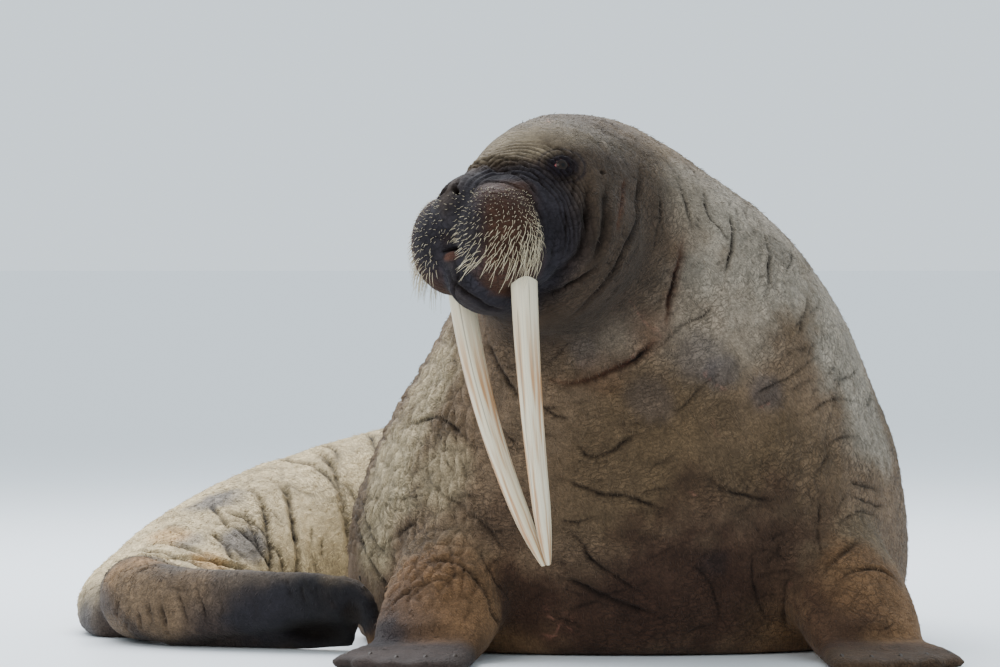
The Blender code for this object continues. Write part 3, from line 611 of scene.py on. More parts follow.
def placedFolds():
    # the folds of the photograph, with the face's own ones mirrored to its other side, and the scars
    made = []
    mirror = np.array((1, -1, 1))
    draw = random.Random(hiddenFolds["seed"] + 1)
    for number, (kind, tone, spots) in enumerate((*bodyFolds, *faceFolds)):
        line = foldFromView(spots)
        if len(line) < 2:
            continue
        if kind == "ring" and number < len(bodyFolds) - 2:
            for _ in range(2):
                line = [*line, *walkOn(line[-2], line[-1], draw.uniform(*foldSetup["runOn"]))][::-1]
        line = roughen(smoothLine(line, foldSetup["step"]), number * 7)
        made.append((*foldSetup[kind], tone, line))
        if kind != "fine" and number < len(bodyFolds):
            for branch in branches(draw, line):
                made.append((*foldSetup["branch"], "dark", smoothLine(branch, foldSetup["step"])))
    for kind, tone, spots in faceFolds:
        line = foldFromView(spots)
        if len(line) < 2:
            continue
        other = outOfHead(inHead(np.array(line)) * mirror)
        other = [coarse.find_nearest(Vector(spot))[0] for spot in other]
        made.append((*foldSetup[kind], tone, smoothLine(other, foldSetup["step"])))
    for spots in scars:
        made.append((*foldSetup["scar"], "scar", smoothLine(foldFromView(spots), foldSetup["step"])))
    return made


def strayFolds():
    made = []
    draw = random.Random(hiddenFolds["seed"])
    count = len(skin.data.vertices)
    shortest, longestSeen, longestHidden = hiddenFolds["smallLength"]
    for _ in range(hiddenFolds["strays"]):
        spot = skin.data.vertices[draw.randrange(count)].co.copy()
        local = inHead(np.array([spot]))[0]
        if np.linalg.norm(local - faceMiddle) < 0.25 or spot.z < 0.03:
            continue
        away = coarse.ray_cast(camera.location, (spot - camera.location).normalized())[3]
        seen = away > 13 and spot.y < 0.35
        big = draw.random() < hiddenFolds["bigShare"] and spot.y > hiddenFolds["bigFrom"] and not seen
        if big:
            length, (deep, wide) = draw.uniform(*hiddenFolds["bigLength"]), hiddenFolds["bigSize"]
        else:
            length = draw.uniform(shortest, longestSeen if seen else longestHidden)
            deep, wide = draw.uniform(*hiddenFolds["smallDepth"]), draw.uniform(*hiddenFolds["smallWidth"])
        line = traceFold(draw, spot, length, hiddenFolds["bigWander" if big else "wander"])
        if len(line) > 3:
            made.append((deep, wide, "dark", smoothLine(line, foldSetup["step"])))
    return made


def pressFolds(folds):
    # how far each point sinks and swells, and how strongly the folds mark it: the dark tone is painted shade,
    # the rust tone a colour with a painted shade core, the scar tone a colour
    tree = searchTree(points)
    sink = np.zeros(len(points))
    lift = np.zeros(len(points))
    tones = {tone: np.zeros(len(points)) for tone in ("dark", "rust", "scar")}
    for deep, wide, tone, line in folds:
        deep, wide = deep / 1000, wide / 1000
        gap = {}
        uneven = 0.82 + 0.30 * cloudy(np.array(line), 0.03, 60)
        for number, spot in enumerate(line):
            toEnd = min(number + 0.6, len(line) - number - 0.4)
            taper = min(1, 4.0 * toEnd / len(line)) * uneven[number]
            normal = coarse.find_nearest(spot)[1]
            for _, index, away in tree.find_range(spot, wide * foldSetup["reach"]):
                if index not in gap or away < gap[index][0]:
                    gap[index] = (away, taper, normal)
        if not gap:
            continue
        index = np.fromiter(gap, int)
        away = np.array([gap[i][0] for i in index])
        taper = np.array([gap[i][1] for i in index])
        facing = np.einsum("ij,ij->i", normals[index], np.array([gap[i][2] for i in index]))
        taper *= smoothStep(facing, 0.1, 0.5)
        groove = np.exp(-((away / wide) ** 2) * 1.6) * taper
        side = bell(away, 1.55 * wide, 0.8 * wide) * taper
        if deep > 0:
            sink[index] = np.maximum(sink[index], groove * deep)
            lift[index] = np.maximum(lift[index], side * deep * foldSetup["bulge"])
        else:
            lift[index] = np.maximum(lift[index], -groove * deep)
        # painted shade: a dark core in each fold, and a soft wide band of shade beside the folds that sink
        mark = 0.85 * bell(away, 0, 0.58 * wide) + 0.30 * (deep > 0) * bell(away, 0, 1.7 * wide)
        mark *= taper * min(1, 0.25 + abs(deep) / 0.006)
        tones[tone][index] = np.maximum(tones[tone][index], mark)
    return sink, lift, tones


print("folds: tracing and pressing")
folds = placedFolds()
lines = searchTree(list(itertools.chain.from_iterable(shadedFold[3] for shadedFold in folds)))
refine(skin, lambda spots: np.array([lines.find(spot)[2] < foldSetup["fineFaces"] for spot in spots]))
points = valuesOf(skin, "co")
normals = valuesOf(skin, "normal")
own = inHead(points)
print("skin: faces beside the folds", len(skin.data.polygons))
folds += strayFolds()
sink, lift, tones = pressFolds(folds)
print("folds:", len(folds))

# The face is finished: eyelids, nostrils, lips, and a small mound under each whisker.
faceSetup = {
    "eyeOpening": (0.0178, 0.0112),
    "socketDepth": 0.0175,
    "nostril": (0.196, 0.019, -0.047),
    "nostrilRadii": (0.030, 0.0058, 0.017),
    "nostrilTilt": 48,
    "nostrilDepth": 0.017,
    "nostrilRim": 0.0010,
    "noseTip": (0.200, 0, -0.040),
    "nosePress": 0.009,
    "mouth": (0.027, -0.163, 0.0062),  # half width, height in the head's frame, half thickness
    "mouthDepth": 0.016,
    "lipLift": 0.0035,
    "ear": (-0.088, 0.165, -0.008),
    "earDepth": 0.008,
    "seam": (0.0055, 0.005),
    "mound": (0.0033, 0.0015),
    "arcSpacing": 0.092,
    "arcDepth": 0.0030,
    "lids": {"rim": 0.0020, "ditch": 0.0032, "bag": 0.0015, "outerDitch": 0.0022},
}
whiskerSetup = {
    "rows": 22,
    "columns": 41,
    "stub": 0.009,
    "longest": 0.036,
    "thick": 0.00078,
    "shotFrom": (0.080, 0.062, -0.135),
    "highestRow": 58,
    "rowsSpan": 120,
    "firstColumn": -52,
    "columnsSpan": 152,
    "seed": 5,
}


def eyeAxes(side):
    middle = np.array(eyePlaces["place"]) * (1, side, 1)
    outward = np.array(eyePlaces["outward"]) * (1, side, 1)
    outward /= np.linalg.norm(outward)
    up = np.array((0.06, 0, 1.0))
    up -= outward * (up @ outward)
    up /= np.linalg.norm(up)
    forward = np.cross(up, outward) * side
    if forward[0] < 0:
        forward = -forward
    return middle, outward, up, forward


def whiskerRoots():
    # rows of roots over each pad, shot out from its middle, with length and place in the rows
    setup = whiskerSetup
    draw = random.Random(setup["seed"])
    made = []
    for side in (1, -1):
        middle = Vector(outOfHead(np.array(setup["shotFrom"]) * (1, side, 1)))
        for row in range(setup["rows"]):
            height = math.radians(setup["highestRow"] - row * setup["rowsSpan"] / (setup["rows"] - 1))
            count = max(int(setup["columns"] * math.cos(height * 0.8)), 6)
            for column in range(count):
                share = (column + 0.5 * (row % 2)) / count
                turn = setup["firstColumn"] + setup["columnsSpan"] * share + draw.uniform(-2.2, 2.2)
                turn = math.radians(turn)
                tilt = height + math.radians(draw.uniform(-2.0, 2.0))
                flat = math.cos(tilt)
                way = np.array((math.cos(turn) * flat, side * math.sin(turn) * flat, math.sin(tilt)))
                hit, _, _, away = coarse.ray_cast(middle, Vector(headArray[:3, :3] @ way))
                if hit is None or away > 0.17:
                    continue
                local = inHead(np.array([hit]))[0]
                offPad = local[1] * side < 0.005 or local[0] < 0.060
                if offPad or local[2] > -0.042 - 0.12 * abs(local[1]) or local[2] < -0.204:
                    continue
                if abs(local[1]) < 0.036 and local[2] < -0.150:
                    continue
                low = 0.40 - 0.85 * way[2] + 0.42 * max(way[1] * side, 0) - 0.22 * max(way[0], 0)
                low = min(max(low, 0), 1)
                length = setup["stub"] + (setup["longest"] - setup["stub"]) * low ** 2.2
                made.append((hit, side, low, length * draw.uniform(0.78, 1.18)))
    return made


roots = whiskerRoots()
print("whiskers:", len(roots))
move = normals * (lift - sink)[:, None]
across = np.abs(own[:, 1])

# wrinkle arcs round the pads, closest where the cheek folds up behind them
ring = gapTo(np.column_stack([own[:, 0], across, own[:, 2]]), (0.09, 0.07, -0.14), (0.10, 0.10, 0.115))
wobble = cloudy(own, 0.035, 3) * 0.035 + cloudy(own, 0.012, 4) * 0.012
arcMask = smoothStep(ring, 0.99, 1.10) * fadeOut(ring, 1.60, 2.05) * smoothStep(own[:, 2], -0.21, -0.13)
arcMask *= smoothStep(own[:, 0], -0.10, 0.0) * fadeOut(own[:, 0], 0.14, 0.19)
arcWave = 0.5 + 0.5 * np.cos((ring + wobble) / faceSetup["arcSpacing"] * 2 * math.pi)
move -= normals * (faceSetup["arcDepth"] * arcWave ** 2.5 * arcMask)[:, None]
arcShade = arcWave ** 3 * arcMask

# the groove between the pads, the nostrils and the mouth
padMask = smoothStep(own[:, 0], 0.045, 0.09) * fadeOut(ring, 1.00, 1.10) * fadeOut(own[:, 2], -0.044, -0.022)
seamWide, seamDeep = faceSetup["seam"]
seam = bell(own[:, 1], 0, seamWide) * padMask * smoothStep(own[:, 0], 0.13, 0.16)
seam *= fadeOut(own[:, 2], -0.085, -0.065)
move -= normals * (seamDeep * seam)[:, None]
nostrilMark = np.zeros(len(points))
for side in (1, -1):
    tilt = math.radians(faceSetup["nostrilTilt"]) * side
    away = own - np.array(faceSetup["nostril"]) * (1, side, 1)
    aslant = away[:, 1] * math.cos(tilt) + away[:, 2] * math.sin(tilt)
    upright = -away[:, 1] * math.sin(tilt) + away[:, 2] * math.cos(tilt)
    bent = np.column_stack([away[:, 0], aslant + side * 9.0 * upright ** 2, upright])
    far = gapTo(bent, (0, 0, 0), faceSetup["nostrilRadii"])
    nostrilMark = np.maximum(nostrilMark, fadeOut(far, 0.55, 1.05))
    move += normals * (bell(far, 1.45, 0.33) * faceSetup["nostrilRim"])[:, None]
noseTip = bell(gapTo(own, faceSetup["noseTip"]), 0, 0.034)
backward = headArray[:3, :3] @ np.array((-0.9, 0, -0.3))
move += backward[None] * (noseTip * faceSetup["nosePress"])[:, None]
inward = headArray[:3, :3] @ np.array((-0.80, 0, -0.60))
move += inward[None] * (nostrilMark * faceSetup["nostrilDepth"])[:, None]
mouthWide, mouthHigh, mouthThick = faceSetup["mouth"]
smile = own[:, 2] - mouthHigh + 5.0 * own[:, 1] ** 2
mouthFar = np.hypot(own[:, 1] / mouthWide, smile / mouthThick)
frontFace = smoothStep(own[:, 0], 0.135, 0.155)
mouthMark = fadeOut(mouthFar, 0.45, 1.0) * frontFace
move -= headArray[:3, 0][None] * (mouthMark * faceSetup["mouthDepth"])[:, None]
lipFar = np.hypot(own[:, 1] / 0.022, (smile + 0.015) / 0.012)
lipMark = fadeOut(lipFar, 0.4, 1.2) * frontFace
move += normals * (lipMark * faceSetup["lipLift"])[:, None]

# ear openings behind the eyes
earMark = np.zeros(len(points))
for side in (1, -1):
    far = gapTo(own, np.array(faceSetup["ear"]) * (1, side, 1), (0.010, 0.03, 0.006))
    earMark = np.maximum(earMark, fadeOut(far, 0.3, 1.0))
move -= normals * (faceSetup["earDepth"] * earMark)[:, None]

# a small mound under each whisker
tree = searchTree(points)
moundMark = np.zeros(len(points))
wide, high = faceSetup["mound"]
for root in roots:
    for _, index, away in tree.find_range(root[0], wide * 1.8):
        moundMark[index] = max(moundMark[index], math.exp(-((away / (wide * 0.75)) ** 2)))
move += normals * (moundMark * high)[:, None]

# Quilted skin, boldest on the right of the chest, and soft lumps all over the body.
quiltSetup = {
    "large": (0.025, 0.032, 0.042),
    "small": (0.012, 0.014, 0.017),
    "largeLift": 0.0062,
    "smallLift": 0.0018,
    "sink": 0.0040,
    "elsewhere": (0.28, 0.18),
    "flipperRoom": 0.012,
    "lumps": ((0.085, 0.0026, 8), (0.034, 0.0011, 9)),
    "pebble": (0.020, 0.020, 0.022),
    "pebbleLift": 0.0010,
}
face = fadeOut(gapTo(own, faceMiddle), 0.19, 0.27)
warped = points + 0.010 * np.stack([cloudy(points, 0.045, 20 + axis) for axis in range(3)], axis=1)
room = quiltSetup["flipperRoom"]
footLow, footHigh = (np.array(corner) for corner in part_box("hindflipper_right"))
offFoot = 1 - np.all((points > footLow - room) & (points < footHigh + room), axis=1)
loose = 1 - face
quilt = fadeOut(points[:, 0], -0.30, -0.16) * smoothStep(points[:, 2], 0.06, 0.16)
quilt *= fadeOut(points[:, 2], 0.60, 0.74) * fadeOut(points[:, 1], 0.30, 0.50) * loose * offFoot
behind = smoothStep(points[:, 1], 0.25, 0.50)
elsewhere = (1 - behind) * loose * smoothStep(points[:, 2], 0.10, 0.20) * offFoot + behind * offFoot
even, uneven = quiltSetup["elsewhere"]
quilt = np.maximum(quilt, elsewhere * (even + uneven * cloudy(points, 0.16, 70)))
chosen = np.flatnonzero(quilt > 0.02)
cells = np.zeros(len(points))
cells[chosen] = smoothStep(cellEdges(warped[chosen], quiltSetup["large"], 2), 0.0, 0.42)
small = np.zeros(len(points))
small[chosen] = smoothStep(cellEdges(warped[chosen], quiltSetup["small"], 6), 0.0, 0.45)
relief = cells * quiltSetup["largeLift"] + small * quiltSetup["smallLift"] - quiltSetup["sink"]
move += normals * (quilt * relief)[:, None]
quiltGroove = quilt * (1 - cells) ** 2
lumps = sum(cloudy(points, size, seed) * height for size, height, seed in quiltSetup["lumps"])
chosen = np.flatnonzero((loose > 0.5) & (quilt < 0.5))
pebble = np.zeros(len(points))
pebble[chosen] = smoothStep(cellEdges(warped[chosen], quiltSetup["pebble"], 12), 0.0, 0.5) - 0.6
move += normals * (loose * (lumps + pebble * quiltSetup["pebbleLift"] * (1 - quilt)))[:, None]

# The hollow under the rolled edge of the near hind flipper, dented in and painted with its shadow: spot seen
# from the camera, radii and depth.
hollows = (
    (316, 630, (0.085, 0.10, 0.036), 0.024),
    (352, 618, (0.030, 0.10, 0.050), 0.010),
)
cup = np.zeros(len(points))
for px, py, radii, deep in hollows:
    hit = coarse.ray_cast(*lineOfSight(px, py))[0]
    share = fadeOut(gapTo(points, hit, radii), 0.35, 1.0) * smoothStep(-normals[:, 1], 0.0, 0.4)
    cup = np.maximum(cup, share)
    move[:, 1] += share * deep
move[:, 2] *= smoothStep(points[:, 2], 0.002, 0.020)  # the flats stay flat
moved = points + move

# lids over the eyeballs: a thick rim, a ditch, a soft bag and an outer ditch, as rings round each opening
lidShade = np.zeros(len(points))
lids = faceSetup["lids"]
for side in (1, -1):
    middle, outward, up, forward = eyeAxes(side)
    away = own - middle
    reach = np.linalg.norm(away, axis=1)
    along, high, out = away @ forward, away @ up, away @ outward
    length, height = faceSetup["eyeOpening"]
    near = (out > 0) & (reach < 0.060)
    share = np.clip(1 - (along / length) ** 2, 0, 1)
    upper, lower = height * 0.95 * share ** 0.8, -height * 0.80 * share ** 0.9
    inside = smoothStep(np.minimum(upper - high, high - lower), -0.0006, 0.0010)
    inside = inside * (np.abs(along) < length) * near
    outline = np.hypot(along / (length * 1.12), high / (height * 1.35))
    local = inHead(moved) - middle
    size = np.linalg.norm(local, axis=1)
    rim = bell(outline, 1.12, 0.20) * near
    ditch = bell(outline, 1.62, 0.20) * near
    bag = bell(outline, 2.05, 0.26) * near
    outerDitch = bell(outline, 2.50, 0.20) * near
    heavy = 1 + 0.6 * smoothStep(high, 0, 0.01)  # the upper lid is the thicker one
    wanted = size + rim * lids["rim"] * heavy - ditch * lids["ditch"]
    wanted += bag * lids["bag"] - outerDitch * lids["outerDitch"]
    sunk = wanted * (1 - inside) + faceSetup["socketDepth"] * inside
    wanted = np.where(near, np.where(inside > 0, sunk, wanted), size)
    local *= (wanted / np.maximum(size, 1e-6))[:, None]
    moved = np.where(near[:, None], outOfHead(local + middle), moved)
    # painted shade in the lid ditches, in the sunk opening and fading out round each eye, with the dark lid
    # rims
    shades = (ditch, 0.8 * outerDitch, 0.7 * rim, fadeOut(outline, 1.25, 1.75),
              fadeOut(outline, 1.4, 3.0) * 0.55)
    lidShade = np.maximum(lidShade, np.maximum.reduce(shades) * near)
moved[:, 2] = np.maximum(moved[:, 2], 0.0)
print("skin: face and folds pressed")


def linear(code):
    made = []
    for i in (0, 2, 4):
        share = int(code[i:i + 2], 16) / 255
        made.append(share / 12.92 if share <= 0.04045 else ((share + 0.055) / 1.055) ** 2.4)
    return (*made, 1)


tints = {
    # the low chest tint is its dark skin with painted shade where the chest curves under
    "body": "6A5744", "back": "60523F", "shoulder": "918778", "chest": "A39375", "lowChestAndShade": "36241B",
    # the pale hind tint is the coat's own colour with painted light on the sides facing the lights
    "olive": "54432F", "paleHindAndLitSide": "C2AE88", "slate": "66615F", "bruise": "474348", "ochre": "B5884E",
    # the near-black web tint is the flippers' dark skin and also painted shadow and shade
    "heel": "8C7150", "web": "1B191C", "forearm": "6C5036", "hand": "3B2B1F", "head": "392E25",
    # the muzzle tint is the muzzle's dark skin and also paints shade under the chin
    # the pale tint for the top of the head is a painted highlight
    "muzzle": "28262B", "pad": "35231B", "padLight": "644434", "forehead": "857862", "lip": "5C3C2F",
    # the darkest tint, on the next line, is painted shade for the folds, hollows and openings
    # the lid tint is the dark lid rims with painted shade round each eye
    "shadedFold": "140C08", "rust": "51301F", "scar": "C98672", "belly": "4E3C2D", "lidRimAndShade": "18141A",
}
# soft patches seen from the camera: tint, spot in the photograph's frame, radius in metres, strength; the low
# chest, web and head patches are partly painted shade and shadow
patches = (
    ("shoulder", 770, 250, 0.20, 0.75), ("shoulder", 840, 330, 0.17, 0.85), ("shoulder", 700, 200, 0.12, 0.6),
    ("shoulder", 870, 420, 0.13, 0.8), ("shoulder", 600, 335, 0.08, 0.35), ("shoulder", 720, 320, 0.15, 0.45),
    ("olive", 700, 450, 0.20, 0.7), ("olive", 620, 470, 0.20, 0.7), ("olive", 790, 470, 0.16, 0.6),
    # the low chest patches are its dark skin with painted shade where the chest curves under towards the
    # floor
    ("lowChestAndShade", 600, 620, 0.17, 0.95), ("lowChestAndShade", 690, 590, 0.19, 0.9), ("lowChestAndShade", 760, 560, 0.18, 0.8),
    ("lowChestAndShade", 520, 600, 0.09, 0.9), ("lowChestAndShade", 830, 620, 0.12, 0.75), ("lowChestAndShade", 700, 510, 0.10, 0.5),
    ("lowChestAndShade", 510, 520, 0.08, 0.5), ("bruise", 700, 352, 0.06, 0.35), ("bruise", 765, 393, 0.045, 0.4),
    ("bruise", 583, 348, 0.035, 0.35), ("bruise", 722, 372, 0.04, 0.4), ("bruise", 650, 400, 0.05, 0.25),
    # the web patch on the low chest is painted shade
    ("web", 715, 562, 0.04, 0.4), ("rust", 650, 330, 0.05, 0.30), ("rust", 600, 372, 0.05, 0.25),
    ("chest", 430, 380, 0.12, 0.8), ("chest", 390, 470, 0.14, 0.95), ("chest", 370, 540, 0.10, 0.9),
    ("chest", 440, 470, 0.09, 0.6), ("forearm", 430, 600, 0.13, 0.8), ("forearm", 860, 570, 0.10, 0.7),
    ("slate", 215, 500, 0.075, 0.85), ("slate", 243, 540, 0.06, 0.85), ("slate", 190, 540, 0.05, 0.6),
    ("slate", 85, 628, 0.06, 0.75), ("ochre", 135, 560, 0.09, 0.7), ("ochre", 170, 535, 0.06, 0.5),
    # the web patches round the near hind flipper are its dark skin and the painted shadow in the hollow under
    # its rolled edge
    ("ochre", 210, 562, 0.05, 0.5), ("web", 300, 600, 0.10, 1.0), ("web", 350, 610, 0.09, 1.0),
    ("web", 250, 600, 0.06, 0.75), ("web", 270, 630, 0.10, 0.95), ("web", 380, 640, 0.06, 0.8),
    ("web", 333, 638, 0.08, 1.0), ("web", 312, 646, 0.07, 1.0), ("heel", 128, 590, 0.07, 0.9),
    ("heel", 152, 612, 0.085, 0.85), ("heel", 190, 584, 0.05, 0.6), ("heel", 120, 630, 0.06, 0.7),
    # the head patches below and behind the cheek are painted shadow, in the head's dark tint
    ("head", 603, 235, 0.08, 0.6), ("head", 618, 290, 0.08, 0.55), ("head", 565, 325, 0.07, 0.5),
)


def paintSkin():
    # a tint for each point, with painted shade and highlights in it: broad zones first, then the patches, the
    # head, and what the relief marked
    up = normals[:, 2]
    spread = cloudy(points, 0.10, 30) * 0.5 + cloudy(points, 0.040, 31) * 0.3
    spread += cloudy(points, 0.016, 32) * 0.2
    paint = np.tile(np.array(linear(tints["body"])[:3]), (len(points), 1))

    def blend(name, mask):
        mask = np.clip(mask, 0, 1)[:, None]
        paint[:] = paint * (1 - mask) + np.array(linear(tints[name])[:3]) * mask

    behind = smoothStep(points[:, 1], 0.30, 0.62)
    blend("back", smoothStep(up + spread * 0.5, 0.0, 0.9) * 0.8)
    # darker where the skin faces down, wherever that is
    blend("belly", smoothStep(-up + spread * 0.4, -0.1, 0.7) * 0.7)
    # the pale cream of the hind body, laid on more where the skin faces up, towards the camera and to the
    # animal's right, the side the lights come from: its own colour with painted light
    turned = smoothStep(-normals[:, 1] - normals[:, 0] + spread * 0.4, -0.9, 0.4)
    blend("paleHindAndLitSide", behind * smoothStep(up + spread * 0.35, -0.55, 0.15) * (0.18 + 0.74 * turned))
    for side in (1, -1):
        place = np.array((0.525, -0.105, 0)) if side > 0 else np.array((-0.335, -0.125, 0))
        far = gapTo(points, place, (1, 1, 0.8))
        blend("forearm", fadeOut(far + spread * 0.06, 0.16, 0.34) * 0.85)
        hand = smoothStep(-points[:, 1], 0.16, 0.26) * fadeOut(points[:, 2], 0.06, 0.16)
        blend("hand", hand * 0.85 * (np.sign(points[:, 0] - 0.1) == side))
    foot = fadeOut(points[:, 2], 0.05, 0.10) * smoothStep(-points[:, 0], 0.62, 0.72)
    blend("hand", foot * fadeOut(points[:, 1], 0.40, 0.50) * 0.7)
    for name, px, py, radius, strength in patches:
        hit = coarse.ray_cast(*lineOfSight(px, py))[0]
        if hit is None:
            continue
        far = gapTo(points, hit) + spread * radius * 0.55
        blend(name, fadeOut(far, radius * 0.45, radius * 1.15) * strength)
    headFar = gapTo(own, (-0.02, 0, -0.09), (1.15, 1, 1)) + spread * 0.03
    blend("head", fadeOut(headFar, 0.22, 0.35) * 0.92)
    # painted highlight: the top of the head and the brow ridge paler, where the overhead light falls
    top = smoothStep(own[:, 2] + spread * 0.02, 0.015, 0.075) * fadeOut(headFar, 0.20, 0.28)
    blend("forehead", top * (0.34 + 0.51 * smoothStep(own[:, 0], -0.03, 0.06)))
    brow = bell(own[:, 2], 0.030, 0.014) * smoothStep(own[:, 0], -0.04, 0.02) * (across < 0.13)
    blend("forehead", brow * fadeOut(headFar, 0.18, 0.26) * 0.45)
    mask = fadeOut(ring + spread * 0.22, 1.10, 1.78)
    mask *= smoothStep(own[:, 0], -0.12, 0.01) * fadeOut(own[:, 2] + spread * 0.012, -0.018, 0.020)
    blend("muzzle", mask * 0.94)
    # painted shade under the chin, in the same dark tint as the muzzle
    blend("muzzle", fadeOut(own[:, 2], -0.24, -0.18) * smoothStep(own[:, 0], -0.02, 0.06) * 0.55)
    blend("pad", padMask * 0.95)
    inner = padMask * fadeOut(across, 0.02, 0.06) * smoothStep(own[:, 0], 0.13, 0.17)
    blend("padLight", inner * 0.38 * (1 - moundMark))
    blend("padLight", padMask * np.clip(spread, 0, 1) * 0.35)
    # the tops of the whisker mounds take the same dark colour, as follicles
    blend("shadedFold", moundMark ** 3 * 0.45)
    blend("lip", lipMark * 0.75)
    # painted shade in the mouth's groove
    blend("shadedFold", mouthMark * 0.9)
    # dark lid rims with painted shade round each eye
    blend("lidRimAndShade", lidShade * 0.95)
    # painted shade in the nostrils and ear openings, painted shadow in the hollow under the near hind
    # flipper, and painted shade in the wrinkle arcs round the pads and in the quilted grooves
    blend("shadedFold", np.clip(nostrilMark * 1.3, 0, 1) * 0.97)
    blend("shadedFold", earMark * 0.8)
    blend("shadedFold", cup * 0.95)
    blend("shadedFold", arcShade * 0.6)
    blend("shadedFold", quiltGroove * 0.38)
    # rust folds keep their own colour with painted shade in their core, and the dark folds are painted shade
    blend("rust", tones["rust"] * 1.1)
    blend("shadedFold", tones["dark"] * 0.92)
    blend("shadedFold", tones["rust"] ** 2 * 0.9)
    blend("scar", tones["scar"] * 0.8)
    return paint


paint = paintSkin()
print("skin: painted")


def thinSkin():
    # Decimate thins the flats and keeps the folds, then each point takes the marks of the nearest old one
    putPoints(skin, moved)
    triangles = sum(len(face.vertices) - 2 for face in skin.data.polygons)
    addModifier(skin, "thin", "DECIMATE", ratio=skinSetup["triangles"] / triangles)
    applyAll(skin)
    old = searchTree(moved)
    kept = valuesOf(skin, "co")
    nearest = np.array([old.find(spot)[1] for spot in kept])
    ways, run = spineWays(kept)
    # the tint holds painted shade and highlights as well as the skin's own colours
    addLayer(skin, "tint", "FLOAT_COLOR", np.column_stack([paint[nearest], np.ones(len(nearest))]))
    masks = {
        "shadedFold": np.maximum.reduce([tones["dark"], tones["rust"], quiltGroove, arcShade, seam])[nearest],
        "smoothHide": np.maximum(face, 0)[nearest],
        "padSkin": padMask[nearest],
    }
    for name, values in masks.items():
        addLayer(skin, name, "FLOAT", np.clip(values, 0, 1))
    # distance along the spine first, then place across it, so that streaks follow the coat
    offset = kept - ways * np.einsum("ij,ij->i", kept, ways)[:, None]
    lie = [run, offset[:, 0] + 0.4 * offset[:, 1], offset[:, 2] + 0.6 * offset[:, 1]]
    addLayer(skin, "coatLie", "FLOAT_VECTOR", np.column_stack(lie))
    shadeSmooth(skin)


thinSkin()
print("skin: triangles", sum(len(face.vertices) - 2 for face in skin.data.polygons))
finished = surfaceOf(skin)


def newMaterial(name, rough=0.5):
    made = bpy.data.materials.new(name)
    made.use_nodes = True
    shader = made.node_tree.nodes["Principled BSDF"]
    shader.inputs["Roughness"].default_value = rough
    return made, made.node_tree, shader


def addNode(tree, kind, inputs=None, **settings):
    made = tree.nodes.new(kind)
    for key, value in settings.items():
        setattr(made, key, value)
    for key, value in (inputs or {}).items():
        if isinstance(value, bpy.types.NodeSocket):
            tree.links.new(value, made.inputs[key])
        else:
            made.inputs[key].default_value = value
    return made


# Thick bare-looking hide under a thin flat coat: matt, cracked like old leather, with fine hair streaks.
hideSetup = {
    "mottleSize": 0.055,
    "speckSize": 0.0055,
    "crackSize": (0.0070, 0.024, 0.024),
    "crackEdge": 0.16,  # how much of each cell its crack takes
    "hairWidth": 0.0026,  # real hairs are far thinner: this is what shows at the picture's size
    "hairLength": 0.026,
    "driftScale": 60.0,
    "patchScale": 9.0,
    "mottleShade": (0.62, 1.42),
    "speckShade": (0.80, 1.20),
    "hairShade": (0.74, 1.28),
    "crackShade": (0.60, 1.03),
    "gloss": (0.14, 0.05),  # under the coat, and on the bare face
    "bumpDepth": 0.0042,
}


